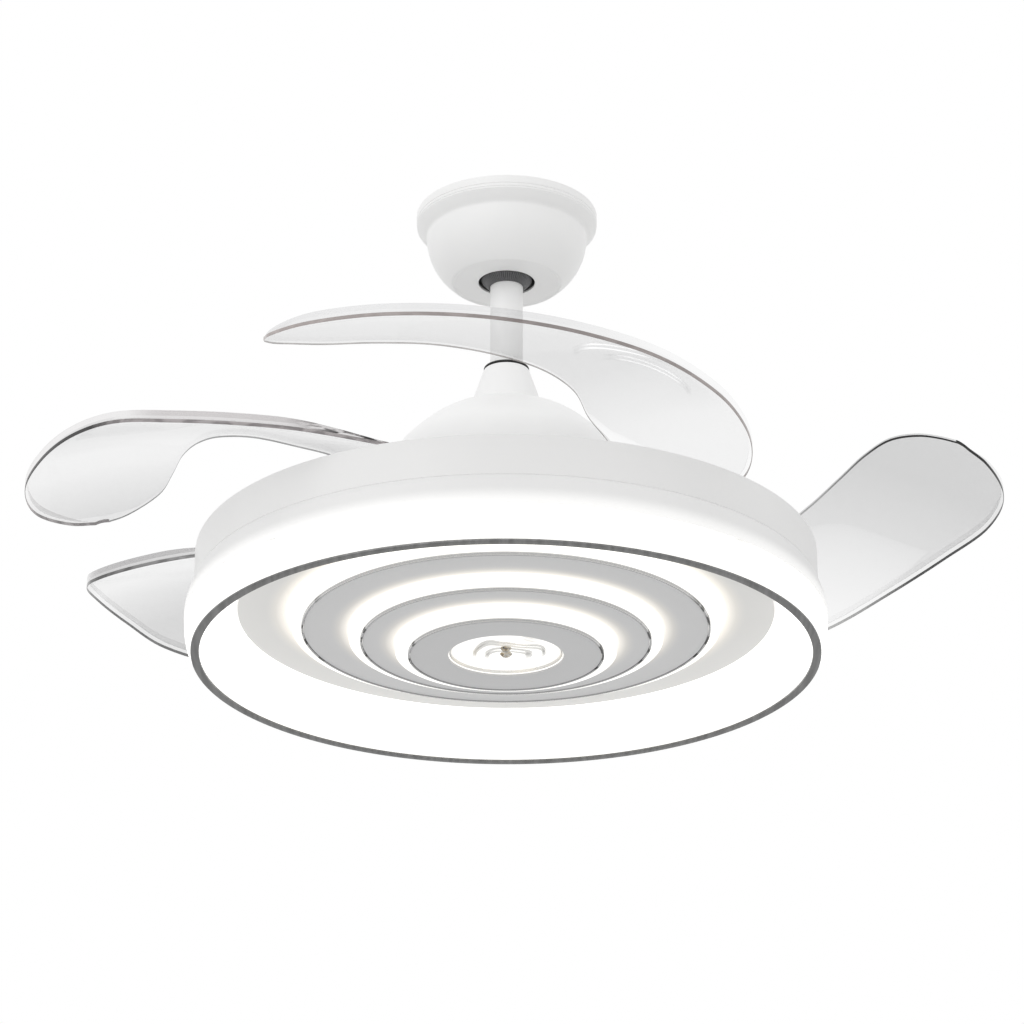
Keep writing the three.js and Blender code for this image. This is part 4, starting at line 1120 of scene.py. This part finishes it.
disc_steps = [
    {"bottom": 25, "hole": 14, "band": 152, "band_top": 38, "flange": 171},
    {"bottom": 14.6, "hole": 14, "band": 105, "band_top": 25, "flange": 125},
    {"bottom": 4, "hole": 46, "band": 67, "band_top": 14.6, "flange": 88},
]
disc_sheet, band_wall, hoop_wall, hoop_drop = 2, 3, 1.6, 0.6
disc_looks = [
    grey_with_painted_halo("disc_grey_2", (0.64, 0.64, 0.645), disc_radii[1], 4, 25),
    grey_with_painted_halo("disc_grey_3", (0.64, 0.64, 0.645), disc_radii[2], 5, 26),
    powder_coat("centre_disc_grey", (0.59, 0.59, 0.595)),
]
for label, outer, step, look in zip((2, 3, 4), disc_radii, disc_steps, disc_looks):
    hole, bottom = step["hole"], step["bottom"]
    top, edge = bottom + disc_sheet, outer - hoop_wall - 0.3
    disc_line = [(hole, bottom, 0.4), (edge, bottom, 0.3), (edge, top, 0.3), (hole, top, 0.4)]
    disc = turned(f"step_disc_{label}", eased(disc_line, 0.2), faces=200)
    fit(disc, "hanger", [f"disc_{label}"], "grey_paint", look)

    band, band_top, flange = step["band"], step["band_top"] - 0.3, step["flange"]
    band_line = [
        (band - band_wall, top + 0.6), (flange, top + 0.6, 0.6), (flange, top + 2.4, 0.6), (band, top + 2.4),
        (band, band_top), (band - band_wall, band_top),
    ]
    opal_band = turned(f"lit_band_{label}", eased(band_line, 0.3), faces=200)
    fit(opal_band, "hanger", [f"glow_band_{label}"], "milk_acrylic", lit_band)

    low = bottom - hoop_drop
    hoop_line = [
        (outer - hoop_wall, low, 0.4), (outer, low, 0.4), (outer, low + 0.9, 0.15),
        (outer - 0.4, low + 1.2, 0.15), (outer - 0.4, low + 1.7, 0.15), (outer, low + 2.0, 0.15),
        (outer, low + 3, 0.4), (outer - hoop_wall, low + 3, 0.3),
    ]
    hoop = turned(f"chrome_hoop_{label}", eased(hoop_line, 0.3), faces=240)
    fit(hoop, "hanger", [f"disc_rim_{label}"], "chrome", hoop_chrome)


# ---- crystal --------------------------------------------------------------------------------
# A clear moulded dish is pressed into the smallest disc, under a small round emitter. A short
# cut-glass stem stands in its middle. Its gold and grey glints and the dish's wavy rings are painted
# reflections.

dish_bottom, dish_depth, dish_radius, dish_wall, dish_ripple = 1.55, 4.95, 45, 2.2, 0.35
dish_outside, dish_inside = [], []
for i in range(25):
    share = i / 24
    lift = dish_bottom + dish_depth * (1 - cos(share * pi / 2))
    ripple = dish_ripple * sin(share * 6 * pi) * share * (1 - share) * 4
    dish_outside.append((dish_radius * share, lift, 0))
    dish_inside.append(((dish_radius - 1) * share, lift + dish_wall + ripple, 0))
dish = turned("crystal_dish", eased(dish_outside + dish_inside[::-1], 0), faces=120)
lead_glass = Finish("clear_dish")
reach = lead_glass.radius()
# Painted reflections: wavy grey and gold rings on the near half of the dish, and a grey rim
wave = lead_glass.grain(26, 1, (1, 1, 0.2))
near_half = (-1000 * lead_glass.place()[1]).within(-3, 7)
swirl = ((reach + wave * 24) * 0.52).sine()
painted_ripples = swirl.within(0.35, 0.9) * near_half * reach.within(3, 8) * (1 - reach.within(34, 41))
painted_rim_reflection = reach.within(43.4, 44.4)
lead_glass.surface(
    Base_Color=lead_glass.blend(wave.within(0.42, 0.6), (0.22, 0.21, 0.19), (0.50, 0.44, 0.34)),
    Roughness=0.04,
    IOR=1.5,
    Alpha=(0.02 + 0.5 * painted_ripples + 0.5 * painted_rim_reflection).capped(),
)
fit(dish, "hanger", ["crystal_lens"], "crystal", lead_glass)

stem_foot = dish_bottom + dish_wall + 0.3
stem_line = [
    (0, stem_foot), (3.1, stem_foot), (5.2, stem_foot + 2), (2.6, stem_foot + 4.5),
    (4.7, stem_foot + 7), (0, stem_foot + 8),
]
stem = turned("cut_stem", stem_line, faces=8)
stem.data.shade_flat()
cut_glass = Finish("cut_glass")
# Painted glints: gold, white and grey specks of noise on the cut facets
painted_glint = cut_glass.grain(260, 1)
painted_glint_stops = [
    (0.35, (0.10, 0.09, 0.08)), (0.45, (0.55, 0.42, 0.24)),
    (0.55, (0.9, 0.86, 0.78)), (0.65, (0.35, 0.34, 0.33)),
]
cut_glass.surface(
    Base_Color=cut_glass.node("ValToRGB", {"stops": painted_glint_stops}, {0: painted_glint}),
    Metallic=0.2,
    Roughness=0.05,
    Alpha=0.75 + 0.2 * painted_glint,
)
fit(stem, "hanger", ["crystal_stem"], "crystal", cut_glass)

emitter_line = [(0, 12.3), (38, 12.3, 0.5), (38, 14.3, 0.5), (0, 14.3)]
emitter = turned("round_emitter", eased(emitter_line, 0.3), faces=96)
fit(emitter, "hanger", ["centre_emitter"], "board", opal("emitter_glow", (1.0, 0.995, 0.975)))


bpy.context.view_layer.update()
